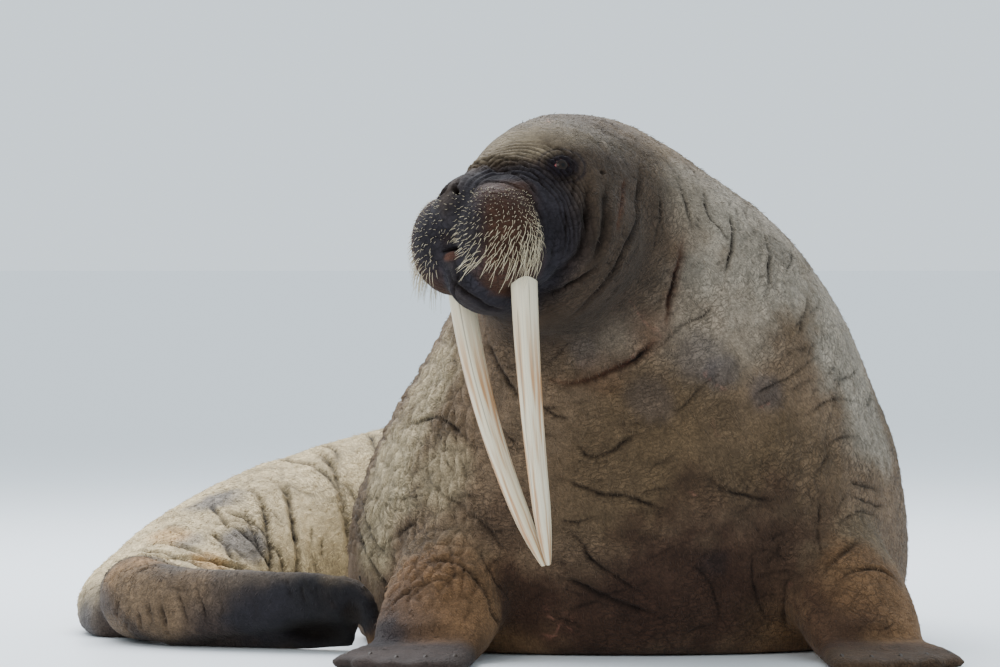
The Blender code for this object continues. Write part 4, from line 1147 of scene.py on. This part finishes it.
def hideMaterial():
    setup = hideSetup
    made, tree, shader = newMaterial("walrusHide", 0.72)
    place = addNode(tree, "ShaderNodeTexCoord").outputs["Object"]
    tint = addNode(tree, "ShaderNodeAttribute", attribute_name="tint").outputs["Color"]
    shadedFold = addNode(tree, "ShaderNodeAttribute", attribute_name="shadedFold").outputs["Fac"]
    smooth = addNode(tree, "ShaderNodeAttribute", attribute_name="smoothHide").outputs["Fac"]
    pad = addNode(tree, "ShaderNodeAttribute", attribute_name="padSkin").outputs["Fac"]
    lie = addNode(tree, "ShaderNodeAttribute", attribute_name="coatLie").outputs["Vector"]
    mottle = addNode(tree, "ShaderNodeTexNoise", {"Vector": place, "Scale": 1 / setup["mottleSize"],
                                                  "Detail": 6.0, "Roughness": 0.62}).outputs["Fac"]
    speck = addNode(tree, "ShaderNodeTexNoise", {"Vector": place, "Scale": 1 / setup["speckSize"],
                                                 "Detail": 3.0, "Roughness": 0.6}).outputs["Fac"]
    hairScale = (1 / setup["hairLength"], 1 / setup["hairWidth"], 1 / setup["hairWidth"])
    combed = addNode(tree, "ShaderNodeMapping", {"Vector": lie, "Scale": hairScale}).outputs["Vector"]
    hair = addNode(tree, "ShaderNodeTexNoise", {"Vector": combed, "Scale": 1.0, "Detail": 2.0,
                                                "Distortion": 0.6}).outputs["Fac"]
    drift = addNode(tree, "ShaderNodeTexNoise", {"Vector": place, "Scale": setup["driftScale"],
                                                 "Detail": 2.0}).outputs["Color"]
    bent = addNode(tree, "ShaderNodeMix", {0: 0.018, 4: lie, 5: drift}, data_type="VECTOR").outputs[1]
    crackScale = tuple(1 / size for size in setup["crackSize"])
    wrinkled = addNode(tree, "ShaderNodeMapping", {"Vector": bent, "Scale": crackScale}).outputs["Vector"]
    crack = addNode(tree, "ShaderNodeTexVoronoi", {"Vector": wrinkled, "Scale": 1.0},
                    feature="DISTANCE_TO_EDGE").outputs["Distance"]
    crack = addNode(tree, "ShaderNodeMapRange", {"Value": crack, "From Min": 0.0,
                                                 "From Max": setup["crackEdge"]}).outputs[0]
    patchy = addNode(tree, "ShaderNodeTexNoise", {"Vector": place, "Scale": setup["patchScale"],
                                                  "Detail": 3.0}).outputs["Fac"]
    patchy = addNode(tree, "ShaderNodeMapRange", {"Value": patchy, "From Min": 0.38, "From Max": 0.62,
                                                  "To Min": 0.15}).outputs[0]
    crack = addNode(tree, "ShaderNodeMix", {0: patchy, 2: 1.0, 3: crack}).outputs[0]
    shades = []
    for value, low, high, field in ((mottle, 0.28, 0.72, "mottleShade"), (speck, 0.3, 0.7, "speckShade"),
                                    (hair, 0.32, 0.68, "hairShade"), (crack, 0.0, 1.0, "crackShade")):
        darkest, palest = setup[field]
        spread = {"Value": value, "From Min": low, "From Max": high, "To Min": darkest, "To Max": palest}
        shades.append(addNode(tree, "ShaderNodeMapRange", spread).outputs[0])
    furry = addNode(tree, "ShaderNodeMath", {0: 1.0, 1: smooth}, operation="SUBTRACT").outputs[0]
    shades[2] = addNode(tree, "ShaderNodeMix", {0: furry, 2: 1.0, 3: shades[2]}).outputs[0]
    shade = shades[0]
    for other in shades[1:]:
        shade = addNode(tree, "ShaderNodeMath", {0: shade, 1: other}, operation="MULTIPLY").outputs[0]
    colour = addNode(tree, "ShaderNodeVectorMath", {0: tint, "Scale": shade}, operation="SCALE").outputs[0]
    tree.links.new(colour, shader.inputs["Base Color"])
    rough = addNode(tree, "ShaderNodeMapRange", {"Value": shadedFold, "To Min": 0.74, "To Max": 0.52}).outputs[0]
    rough = addNode(tree, "ShaderNodeMath", {0: rough, 1: pad}, operation="SUBTRACT").outputs[0]
    rough = addNode(tree, "ShaderNodeMapRange", {"Value": rough, "From Min": -0.4, "From Max": 0.74,
                                                 "To Min": 0.60, "To Max": 0.78}).outputs[0]
    tree.links.new(rough, shader.inputs["Roughness"])
    hairHeight = addNode(tree, "ShaderNodeMath", {0: hair, 1: furry}, operation="MULTIPLY").outputs[0]
    height = addNode(tree, "ShaderNodeMath", {0: crack, 1: 0.42}, operation="MULTIPLY").outputs[0]
    for value, share in ((hairHeight, 0.55), (speck, 0.35)):
        height = addNode(tree, "ShaderNodeMath", {0: value, 1: share, 2: height},
                         operation="MULTIPLY_ADD").outputs[0]
    bump = addNode(tree, "ShaderNodeBump", {"Height": height, "Strength": 0.9,
                                            "Distance": setup["bumpDepth"]}).outputs["Normal"]
    tree.links.new(bump, shader.inputs["Normal"])
    bare = addNode(tree, "ShaderNodeMath", {0: smooth, 1: pad}, operation="MAXIMUM").outputs[0]
    furGloss, bareGloss = setup["gloss"]
    gloss = addNode(tree, "ShaderNodeMapRange", {"Value": bare, "To Min": furGloss,
                                                 "To Max": bareGloss}).outputs[0]
    tree.links.new(gloss, shader.inputs["Specular IOR Level"])
    shader.inputs["Sheen Weight"].default_value = 0.05
    shader.inputs["Sheen Roughness"].default_value = 0.5
    shader.inputs["Sheen Tint"].default_value = linear("D8D2C8")
    return made


skin.data.materials.append(hideMaterial())
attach(skin, "root")
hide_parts(*skinSetup["nodes"], *skinSetup["pads"])
print("skin: hide material made")

# The short coat: thin flat tufts that lie from head to tail and break the outline, in two pieces.
coatSetup = {
    "tuftsEach": 19400,
    "length": (0.009, 0.016),
    "halfWidth": 0.00085,
    "lift": 0.16,
    "scatter": 0.16,
    "droop": 0.35,
    "sink": 0.0006,
    "faceBare": (0.20, 0.27),
    "footBare": (0.03, 0.10),
    "shadeSpread": (0.75, 1.45),
    "seed": 21,
}


def spinePlaces(spots):
    # place on an unwrap of the body: turn round the spine, and share of its length
    places = np.array(spineSetup["places"])
    ways, run = spineWays(spots)
    lengths = np.concatenate([[0], np.cumsum(np.linalg.norm(np.diff(places, axis=0), axis=1))])
    middles = np.stack([np.interp(run, lengths, places[:, axis]) for axis in range(3)], axis=1)
    offset = spots - middles
    sideways = np.cross(ways, (0, 0, 1.0))
    sideways /= np.maximum(np.linalg.norm(sideways, axis=1), 1e-6)[:, None]
    upwards = np.einsum("ij,ij->i", offset, np.cross(sideways, ways))
    turn = np.arctan2(upwards, np.einsum("ij,ij->i", offset, sideways))
    return np.stack([turn / (2 * math.pi) + 0.5, run / lengths[-1]], axis=1) * 0.99


def tuftRoots(draw):
    # spots picked evenly by area over the hairy hide, with the way out of it and its tint there
    mesh = skin.data
    mesh.calc_loop_triangles()
    corners = np.empty(len(mesh.loop_triangles) * 3, np.int32)
    mesh.loop_triangles.foreach_get("vertices", corners)
    corners = corners.reshape(-1, 3)
    spots = valuesOf(skin, "co")
    flat = np.empty(len(spots) * 4, np.float32)
    mesh.attributes["tint"].data.foreach_get("color", flat)
    colours = flat.reshape(-1, 4)[:, :3]
    a, b, c = (spots[corners[:, i]] for i in range(3))
    across = np.cross(b - a, c - a)
    area = np.linalg.norm(across, axis=1)
    middles = (a + b + c) / 3
    hairy = smoothStep(gapTo(inHead(middles), faceMiddle), *coatSetup["faceBare"])
    hairy = hairy * smoothStep(middles[:, 2], *coatSetup["footBare"])
    # the tint is dark on dark skin and where shade is painted, so both grow fewer tufts
    hairy *= 0.30 + 0.70 * smoothStep(colours[corners[:, 0]].sum(axis=1), 0.10, 0.45)  # dark skin is barer
    odds = area * hairy
    picked = draw.choice(len(corners), coatSetup["tuftsEach"], p=odds / odds.sum())
    mix = np.sort(draw.random((len(picked), 2)), axis=1)
    share = np.stack([mix[:, 0], mix[:, 1] - mix[:, 0], 1 - mix[:, 1]], axis=1)
    root = a[picked] * share[:, :1] + b[picked] * share[:, 1:2] + c[picked] * share[:, 2:]
    return root, across[picked] / area[picked][:, None], colours[corners[picked, 0]]


def growCoat(name, seed):
    setup = coatSetup
    draw = np.random.default_rng(seed)
    root, up, colour = tuftRoots(draw)
    way = spineWays(root)[0] + draw.normal(0, setup["scatter"], (len(root), 3))
    way += np.array((0, 0, -setup["droop"]))
    way -= up * np.einsum("ij,ij->i", way, up)[:, None]
    way /= np.maximum(np.linalg.norm(way, axis=1), 1e-6)[:, None]
    side = np.cross(up, way)
    length = draw.uniform(*setup["length"], len(root))[:, None]
    wide = setup["halfWidth"] * draw.uniform(0.7, 1.2, (len(root), 1))
    start = root - up * setup["sink"]
    rise = up * length * setup["lift"]
    middle = start + way * length * 0.5 + rise * draw.uniform(0.5, 1.2, (len(root), 1))
    tip = start + way * length + rise * draw.uniform(0.2, 0.9, (len(root), 1))
    thick = up * wide * 0.5
    rings = [start + side * wide, start - side * wide, start + thick, middle + side * wide * 0.8,
             middle - side * wide * 0.8, middle + thick, tip]
    allSpots = np.stack(rings, axis=1).reshape(-1, 3)
    pattern = ((0, 1, 4, 3), (1, 2, 5, 4), (2, 0, 3, 5), (3, 4, 6), (4, 5, 6), (5, 3, 6), (2, 1, 0))
    starts = range(0, len(allSpots), len(rings))
    faces = [tuple(corner + first for corner in face) for first in starts for face in pattern]
    made = inScene(name, bpy.data.meshes.new(name))
    made.data.from_pydata(allSpots.tolist(), [], faces)
    shape = np.array(((-1, 0, 0), (1, 0, 0), (0, 0, 0), (-1, 0, 0.5), (1, 0, 0.5), (0, 0, 0.5), (0, 0, 1.0)))
    bakePatches(made, shape, spinePlaces(root))
    # each tuft takes the skin's tint under it, painted shade and highlights included, varied at random
    tone = colour * draw.uniform(*setup["shadeSpread"], (len(root), 1))
    tone = np.repeat(np.column_stack([tone, np.ones(len(tone))]), len(shape), axis=0)
    addLayer(made, "tint", "FLOAT_COLOR", tone)
    faceOutwards(made)
    shadeSmooth(made)
    return made


def bakePatches(item, shape, corners):
    # each hair's faces share one small patch at its root's place on the unwrapped skin
    layer = item.data.uv_layers.new(name="OFBake")
    each = len(shape)
    ownSpot = np.empty(len(item.data.loops), np.int32)
    item.data.loops.foreach_get("vertex_index", ownSpot)
    spread = np.stack([0.5 + 0.5 * shape[:, 0], shape[:, 2]], axis=1) * 0.003
    uv = corners[ownSpot // each] + spread[ownSpot % each]
    layer.data.foreach_set("uv", np.clip(uv, 0, 1).astype(np.float32).ravel())


def coatMaterial():
    # Coarse short hair, dry and slightly waxy, in the colour of the hide under it
    made, tree, shader = newMaterial("walrusCoat", 0.62)
    tint = addNode(tree, "ShaderNodeAttribute", attribute_name="tint").outputs["Color"]
    place = addNode(tree, "ShaderNodeTexCoord").outputs["Object"]
    noise = addNode(tree, "ShaderNodeTexNoise", {"Vector": place, "Scale": 55.0,
                                                 "Detail": 3.0}).outputs["Fac"]
    shade = addNode(tree, "ShaderNodeMapRange", {"Value": noise, "To Min": 0.75, "To Max": 1.3}).outputs[0]
    colour = addNode(tree, "ShaderNodeVectorMath", {0: tint, "Scale": shade}, operation="SCALE").outputs[0]
    tree.links.new(colour, shader.inputs["Base Color"])
    shader.inputs["Specular IOR Level"].default_value = 0.25
    return made


coatFinish = coatMaterial()
for number, word in enumerate(("under", "over")):
    coat = growCoat("coat_" + word, coatSetup["seed"] + number)
    coat.data.materials.append(coatFinish)
    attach(coat, "root")
print("coat: grown")


# Eyeballs: a dark brown iris under a clear bulging cornea, with a pink corner towards the nose.
def buildEye(side):
    deselectAll()
    bpy.ops.mesh.primitive_uv_sphere_add(segments=48, ring_count=32, radius=eyePlaces["radius"])
    eye = bpy.context.object
    spots = valuesOf(eye, "co")
    share = smoothStep(spots[:, 2] / eyePlaces["radius"], 0.80, 1.0)
    spots *= (1 + 0.055 * share)[:, None]
    putPoints(eye, spots)
    middle, outward, up, forward = eyeAxes(side)
    gaze = outward + forward * 0.02
    gaze /= np.linalg.norm(gaze)
    sideways = np.cross(up, gaze)
    axes = np.stack([sideways, np.cross(gaze, sideways), gaze], axis=1)
    turned = Matrix([[*row, 0] for row in axes] + [[0, 0, 0, 1]])
    slope = np.clip(spots[:, 2] / np.linalg.norm(spots, axis=1), -1, 1)
    addLayer(eye, "fromPupil", "FLOAT", np.arccos(slope))
    corner = np.array(turned.to_3x3().inverted()) @ forward
    addLayer(eye, "towardsNose", "FLOAT", spots @ corner / eyePlaces["radius"])
    eye.data.transform(head @ Matrix.Translation(middle) @ turned)
    shadeSmooth(eye)
    return eye


def eyeMaterial():
    # Wet living eye: near black pupil, brown iris, dark rim, dull pinkish white, under a mirror-like film
    made, tree, shader = newMaterial("walrusEye", 0.05)
    angle = addNode(tree, "ShaderNodeAttribute", attribute_name="fromPupil").outputs["Fac"]
    place = addNode(tree, "ShaderNodeTexCoord").outputs["Object"]
    grain = addNode(tree, "ShaderNodeTexNoise", {"Vector": place, "Scale": 900.0,
                                                 "Detail": 3.0}).outputs["Fac"]
    ramp = addNode(tree, "ShaderNodeValToRGB", {"Fac": angle})
    stops = ramp.color_ramp
    stops.elements[0].position, stops.elements[0].color = 0.13, linear("060506")
    stops.elements[1].position, stops.elements[1].color = 0.19, linear("1A110B")
    for position, code in ((0.36, "20150D"), (0.45, "0A0706"), (0.56, "2C201D"), (0.72, "4A302C")):
        stops.elements.new(position).color = linear(code)
    nose = addNode(tree, "ShaderNodeAttribute", attribute_name="towardsNose").outputs["Fac"]
    pink = addNode(tree, "ShaderNodeMapRange", {"Value": nose, "From Min": 0.55, "From Max": 0.68}).outputs[0]
    colour = addNode(tree, "ShaderNodeMix", {0: pink, 6: ramp.outputs["Color"], 7: linear("96464A")},
                     data_type="RGBA").outputs[2]
    shade = addNode(tree, "ShaderNodeMapRange", {"Value": grain, "To Min": 0.6, "To Max": 1.4}).outputs[0]
    colour = addNode(tree, "ShaderNodeVectorMath", {0: colour, "Scale": shade}, operation="SCALE").outputs[0]
    tree.links.new(colour, shader.inputs["Base Color"])
    shader.inputs["IOR"].default_value = 1.36
    shader.inputs["Specular IOR Level"].default_value = 0.30
    return made


eyeFinish = eyeMaterial()
for side, word in ((1, "left"), (-1, "right")):
    eye = buildEye(side)
    eye.name = "eyeball_" + word
    eye.data.materials.append(eyeFinish)
    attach(eye, "root")
    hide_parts("eye_" + word)
print("eyes: made")


# Whiskers: one bristle is modelled, then bent and set on each root.
def buildBristle():
    deselectAll()
    bpy.ops.mesh.primitive_cylinder_add(
        vertices=4, radius=1, depth=1, location=(0, 0, 0.5), end_fill_type="NOTHING")
    made = bpy.context.object
    bpy.ops.object.mode_set(mode="EDIT")
    for cut in (0.2, 0.4, 0.6, 0.8):
        bpy.ops.mesh.select_all(action="SELECT")
        bpy.ops.mesh.bisect(plane_co=(0, 0, cut), plane_no=(0, 0, 1))
    bpy.ops.object.mode_set(mode="OBJECT")
    applyPlace(made)
    return made


def growWhiskers():
    draw = random.Random(whiskerSetup["seed"] + 1)
    bristle = buildBristle()
    shape = valuesOf(bristle, "co")
    faces = [tuple(face.vertices) for face in bristle.data.polygons]
    bpy.data.objects.remove(bristle)
    axes = headArray[:3, :3]
    spots, polygons, patchesUv = [], [], []
    for hit, side, low, length in roots:
        root, normal, _, _ = finished.find_nearest(hit)
        root, normal = np.array(root), np.array(normal)
        fall = axes @ np.array((0.25, -0.62 * side, -0.80))
        fall /= np.linalg.norm(fall)
        sweep = axes @ np.array((0.0, 0.30 * side, 0.0)) * (1 - low)
        lean = normal * 0.9 + fall * (0.02 + 0.12 * low) + sweep
        lean += np.array([draw.uniform(-0.16, 0.16) for _ in range(3)])
        lean /= np.linalg.norm(lean)
        curl = fall * (0.60 + 1.55 * low) + np.array([draw.uniform(-0.10, 0.10) for _ in range(3)])
        z = shape[:, 2]
        thick = whiskerSetup["thick"] * (0.75 + 0.35 * low) * (1 - 0.72 * z ** 1.6)
        first = np.cross(lean, (0.3, 0.2, 0.9))
        first /= np.linalg.norm(first)
        second = np.cross(lean, first)
        line = root - normal * 0.003 + np.outer(z * length, lean) + np.outer(z ** 2 * length * 0.55, curl)
        start = len(spots) * len(shape)
        spots.append(line + np.outer(shape[:, 0] * thick, first) + np.outer(shape[:, 1] * thick, second))
        polygons.extend(tuple(corner + start for corner in face) for face in faces)
        local = inHead(root[None])[0]
        patchesUv.append((0.5 + side * 0.24 + local[1] * 1.5 * side * 0.6, 0.5 + (local[2] + 0.13) * 2.4))
    made = inScene("whiskers", bpy.data.meshes.new("whiskers"))
    made.data.from_pydata(np.concatenate(spots).tolist(), [], polygons)
    bakePatches(made, shape, np.array(patchesUv))
    addLayer(made, "alongHair", "FLOAT", np.tile(shape[:, 2], len(roots)))
    faceOutwards(made)
    shadeSmooth(made)
    return made


def whiskerMaterial():
    # Stiff keratin bristle: pale straw with a waxy gloss, darker and browner at its root
    made, tree, shader = newMaterial("whiskerKeratin", 0.38)
    along = addNode(tree, "ShaderNodeAttribute", attribute_name="alongHair").outputs["Fac"]
    place = addNode(tree, "ShaderNodeTexCoord").outputs["Object"]
    noise = addNode(tree, "ShaderNodeTexNoise", {"Vector": place, "Scale": 160.0,
                                                 "Detail": 2.0}).outputs["Fac"]
    ramp = addNode(tree, "ShaderNodeValToRGB", {"Fac": along})
    ramp.color_ramp.elements[0].color = linear("8A755C")
    ramp.color_ramp.elements[1].position, ramp.color_ramp.elements[1].color = 0.45, linear("CBBD9E")
    shade = addNode(tree, "ShaderNodeMapRange", {"Value": noise, "To Min": 0.7, "To Max": 1.25}).outputs[0]
    colour = addNode(tree, "ShaderNodeVectorMath", {0: ramp.outputs["Color"], "Scale": shade},
                     operation="SCALE")
    tree.links.new(colour.outputs[0], shader.inputs["Base Color"])
    shader.inputs["IOR"].default_value = 1.55
    return made


whiskers = growWhiskers()
whiskers.data.materials.append(whiskerMaterial())
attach(whiskers, "root")
print("whiskers: set", len(roots))


# Tusks: the solid's own form, smoothed, with shallow lengthways flutes and a few cracks.
tuskSetup = {
    "fluteDepth": 0.00028,
    "fluteCount": 4,
    "cracks": ((0.02, 0.55, -0.5, 0.25), (0.10, 0.80, 0.25, -0.3), (0.0, 0.35, 1.2, 0.2)),
    "crackDepth": 0.0005,
    "crackWidth": 0.0009,
    "radius": 0.026,
    "drop": 0.564,
    "root": (0.073, 0.089, -0.223),
    "bend": (0.121, 0.084),  # back and inwards, over the whole drop
}


def buildTusk(side):
    word = "left" if side > 0 else "right"
    setup = tuskSetup
    made = inScene("tuskIvory_" + word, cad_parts["tusk_" + word].data.copy())
    made.data.materials.clear()
    makeActive(made)
    bpy.ops.object.mode_set(mode="EDIT")
    bpy.ops.mesh.select_all(action="SELECT")
    bpy.ops.mesh.remove_doubles(threshold=0.00005)
    bpy.ops.mesh.tris_convert_to_quads(face_threshold=1.2, shape_threshold=1.2)
    bpy.ops.object.mode_set(mode="OBJECT")
    addModifier(made, "round", "SUBSURF", levels=3, render_levels=3)
    applyAll(made)
    spots = valuesOf(made, "co")
    facing = valuesOf(made, "normal")
    local = inHead(spots)
    (rootX, rootY, rootZ), (back, inwards) = setup["root"], setup["bend"]
    run = np.clip((rootZ - local[:, 2]) / setup["drop"], 0, 1)
    middleX = rootX - back * (0.25 * run + 0.75 * run ** 2)
    middleY = side * (rootY - inwards * (0.436 * run + 0.564 * run ** 2))
    angle = np.arctan2(local[:, 1] - middleY, local[:, 0] - middleX)
    fade = smoothStep(1 - run, 0.03, 0.25)
    flutes = np.cos(angle * setup["fluteCount"] + cloudy(local, (0.2, 0.2, 0.16), 40) * 1.5 + side)
    cracks = np.zeros(len(spots))
    for start, end, turn, drift in setup["cracks"]:
        gap = (angle - turn * side - drift * run + math.pi) % (2 * math.pi) - math.pi
        along = smoothStep(run, start, start + 0.05) * fadeOut(run, end - 0.05, end)
        cracks = np.maximum(cracks, bell(gap * setup["radius"], 0, setup["crackWidth"]) * along)
    depth = flutes * setup["fluteDepth"] * fade - 0.0004 - cracks * setup["crackDepth"]
    putPoints(made, spots + facing * depth[:, None])
    addLayer(made, "alongTusk", "FLOAT", run)
    addLayer(made, "crack", "FLOAT", cracks)
    unrolled = [np.cos(angle) * setup["radius"], np.sin(angle) * setup["radius"], run * setup["drop"]]
    addLayer(made, "tuskPlace", "FLOAT_VECTOR", np.column_stack(unrolled))
    shadeSmooth(made)
    return made


def ivoryMaterial():
    # Walrus ivory: creamy dentine with long tan stains, hairline grain and a dull polish
    made, tree, shader = newMaterial("walrusIvory", 0.34)
    place = addNode(tree, "ShaderNodeAttribute", attribute_name="tuskPlace").outputs["Vector"]
    run = addNode(tree, "ShaderNodeAttribute", attribute_name="alongTusk").outputs["Fac"]
    crack = addNode(tree, "ShaderNodeAttribute", attribute_name="crack").outputs["Fac"]
    long = addNode(tree, "ShaderNodeMapping", {"Vector": place, "Scale": (70.0, 70.0, 5.0)}).outputs["Vector"]
    stain = addNode(tree, "ShaderNodeTexNoise", {"Vector": long, "Scale": 1.0, "Detail": 3.0}).outputs["Fac"]
    fine = addNode(tree, "ShaderNodeMapping", {"Vector": place,
                                               "Scale": (620.0, 620.0, 9.0)}).outputs["Vector"]
    grain = addNode(tree, "ShaderNodeTexNoise", {"Vector": fine, "Scale": 1.0, "Detail": 2.0}).outputs["Fac"]
    middle = addNode(tree, "ShaderNodeMapRange", {"Value": run, "From Min": 0.05,
                                                  "From Max": 0.35}).outputs[0]
    stained = addNode(tree, "ShaderNodeMapRange", {"Value": stain, "From Min": 0.44, "From Max": 0.60,
                                                   "To Max": 0.9}).outputs[0]
    stained = addNode(tree, "ShaderNodeMath", {0: stained, 1: middle}, operation="MULTIPLY").outputs[0]
    colour = addNode(tree, "ShaderNodeMix", {0: stained, 6: linear("DFD2B4"), 7: linear("B57F4A")},
                     data_type="RGBA").outputs[2]
    lined = addNode(tree, "ShaderNodeMapRange", {"Value": grain, "From Min": 0.3, "From Max": 0.7,
                                                 "To Min": 0.86, "To Max": 1.07}).outputs[0]
    colour = addNode(tree, "ShaderNodeVectorMath", {0: colour, "Scale": lined}, operation="SCALE").outputs[0]
    colour = addNode(tree, "ShaderNodeMix", {0: crack, 6: colour, 7: linear("8A7A68")},
                     data_type="RGBA").outputs[2]
    tree.links.new(colour, shader.inputs["Base Color"])
    bump = addNode(tree, "ShaderNodeBump", {"Height": grain, "Strength": 0.35,
                                            "Distance": 0.0008}).outputs["Normal"]
    tree.links.new(bump, shader.inputs["Normal"])
    shader.inputs["IOR"].default_value = 1.54
    shader.inputs["Subsurface Weight"].default_value = 0.08
    shader.inputs["Subsurface Radius"].default_value = (0.006, 0.004, 0.003)
    return made


ivory = ivoryMaterial()
for side, word in ((1, "left"), (-1, "right")):
    tusk = buildTusk(side)
    tusk.data.materials.append(ivory)
    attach(tusk, "root")
    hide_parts("tusk_" + word)
print("tusks: made")


# Nails: one curved nail is modelled, then a copy sits on each digit of the flippers that lie flat.
nailSetup = {
    "hands": ((-0.335, -0.125, -16, 0.32, 1), (0.525, -0.105, 14, 0.32, -1)),
    "foot": (-0.765, 0.425, 40, 0.245, 1),
    "handDigits": ((0.345, 0.97), (0.180, 1.00), (0.005, 0.98), (-0.165, 0.92), (-0.325, 0.82)),
    "footDigits": ((0.34, 1.00), (0.17, 0.90), (0.0, 0.86), (-0.17, 0.90), (-0.34, 1.00)),
    "length": 0.024,
    "radius": 0.0054,
    "near": ((361, 581), (366, 590)),
}


def buildNail():
    deselectAll()
    bpy.ops.mesh.primitive_cone_add(vertices=10, radius1=1, radius2=0.25, depth=1, location=(0, 0, 0.5))
    made = bpy.context.object
    bpy.ops.object.mode_set(mode="EDIT")
    for cut in (0.25, 0.5, 0.75):
        bpy.ops.mesh.select_all(action="SELECT")
        bpy.ops.mesh.bisect(plane_co=(0, 0, cut), plane_no=(0, 0, 1))
    bpy.ops.object.mode_set(mode="OBJECT")
    applyPlace(made)
    addModifier(made, "round", "SUBSURF", levels=1, render_levels=1)
    applyAll(made)
    spots = valuesOf(made, "co")
    spots[:, 0] *= nailSetup["radius"]
    spots[:, 1] *= nailSetup["radius"] * 0.62
    spots[:, 1] -= 0.0055 * spots[:, 2] ** 2
    spots[:, 2] *= nailSetup["length"]
    putPoints(made, spots)
    return made


def setNails():
    nail = buildNail()
    copies = []
    places = []
    for rootX, rootY, degrees, length, leading in (*nailSetup["hands"], nailSetup["foot"]):
        turn = math.radians(degrees)
        along = Vector((math.sin(turn), -math.cos(turn), 0))
        side = Vector((math.cos(turn), math.sin(turn), 0))
        digits = nailSetup["footDigits"] if length < 0.3 else nailSetup["handDigits"]
        for spread, reach in digits:
            offset = along * (reach - 0.13) + side * (leading * spread * 1.10)
            spot = Vector((rootX, rootY, 0)) + offset * length
            hit = finished.ray_cast(Vector((spot.x, spot.y, 0.12)), Vector((0, 0, -1)))
            if hit[0] is not None:
                places.append((hit[0], hit[1], along))
    for px, py in nailSetup["near"]:
        hit = finished.ray_cast(*lineOfSight(px, py))
        if hit[0] is not None:
            places.append((hit[0], hit[1], Vector((0.55, -0.1, -0.83))))
    for spot, up, along in places:
        along = (along - up * along.dot(up)).normalized()
        side = up.cross(along)
        made = inScene("nail", nail.data.copy())
        axes = Matrix((side, up, along)).transposed().to_4x4()
        made.data.transform(Matrix.Translation(spot - along * 0.012 + up * 0.0005) @ axes)
        copies.append(made)
    bpy.data.objects.remove(nail)
    return joinPieces(copies, "flipperNails")


def nailMaterial():
    # Worn nail horn: dark grey-brown, streaked along its length, with a low polish
    made, tree, shader = newMaterial("nailHorn", 0.62)
    place = addNode(tree, "ShaderNodeTexCoord").outputs["Object"]
    noise = addNode(tree, "ShaderNodeTexNoise", {"Vector": place, "Scale": 420.0,
                                                 "Detail": 4.0}).outputs["Fac"]
    colour = addNode(tree, "ShaderNodeMix", {0: noise, 6: linear("1C1714"), 7: linear("463C33")},
                     data_type="RGBA")
    tree.links.new(colour.outputs[2], shader.inputs["Base Color"])
    bump = addNode(tree, "ShaderNodeBump", {"Height": noise, "Strength": 0.4,
                                            "Distance": 0.0006}).outputs["Normal"]
    tree.links.new(bump, shader.inputs["Normal"])
    shader.inputs["Specular IOR Level"].default_value = 0.2
    return made


nails = setNails()
shadeSmooth(nails)
nails.data.materials.append(nailMaterial())
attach(nails, "root")
print("nails: set")


# The studio: one large flat pale floor under and behind the animal, a big soft light overhead and a weak fill
# in front.
stageSetup = {
    "floor": "EEF2F5",
    "sky": "DCE9F2",
    "skyStrength": 1.45,
    "overhead": ((-1.2, 2.6, 4.2), (5.5, 3.6), 620, "F6F9FF"),
    "fill": ((-3.2, -4.5, 3.4), (3.0, 2.6), 90, "FFF4E6"),
}


def addFloor():
    deselectAll()
    bpy.ops.mesh.primitive_plane_add(size=60, location=(0, 0, 0))
    floor = bpy.context.object
    floor.name = "paleFloor"
    bpy.ops.object.mode_set(mode="EDIT")
    bpy.ops.mesh.subdivide(number_cuts=8)
    bpy.ops.object.mode_set(mode="OBJECT")
    applyPlace(floor)
    made, tree, shader = newMaterial("paleStudioFloor", 0.35)
    shader.inputs["Base Color"].default_value = linear(stageSetup["floor"])
    floor.data.materials.append(made)


def addLight(name, settings):
    place, size, power, colour = settings
    data = bpy.data.lights.new(name, "AREA")
    data.shape = "RECTANGLE"
    data.size, data.size_y = size
    data.energy = power
    data.color = linear(colour)[:3]
    made = inScene(name, data)
    made.location = place
    made.rotation_mode = "QUATERNION"
    made.rotation_quaternion = (Vector((-0.1, 0.1, 0.5)) - Vector(place)).to_track_quat("-Z", "Y")


addFloor()
studio = bpy.data.worlds.new("studio")
bpy.context.scene.world = studio
studio.use_nodes = True
background = studio.node_tree.nodes["Background"]
background.inputs["Color"].default_value = linear(stageSetup["sky"])
background.inputs["Strength"].default_value = stageSetup["skyStrength"]
addLight("overhead", stageSetup["overhead"])
addLight("fill", stageSetup["fill"])
print("studio: lit")
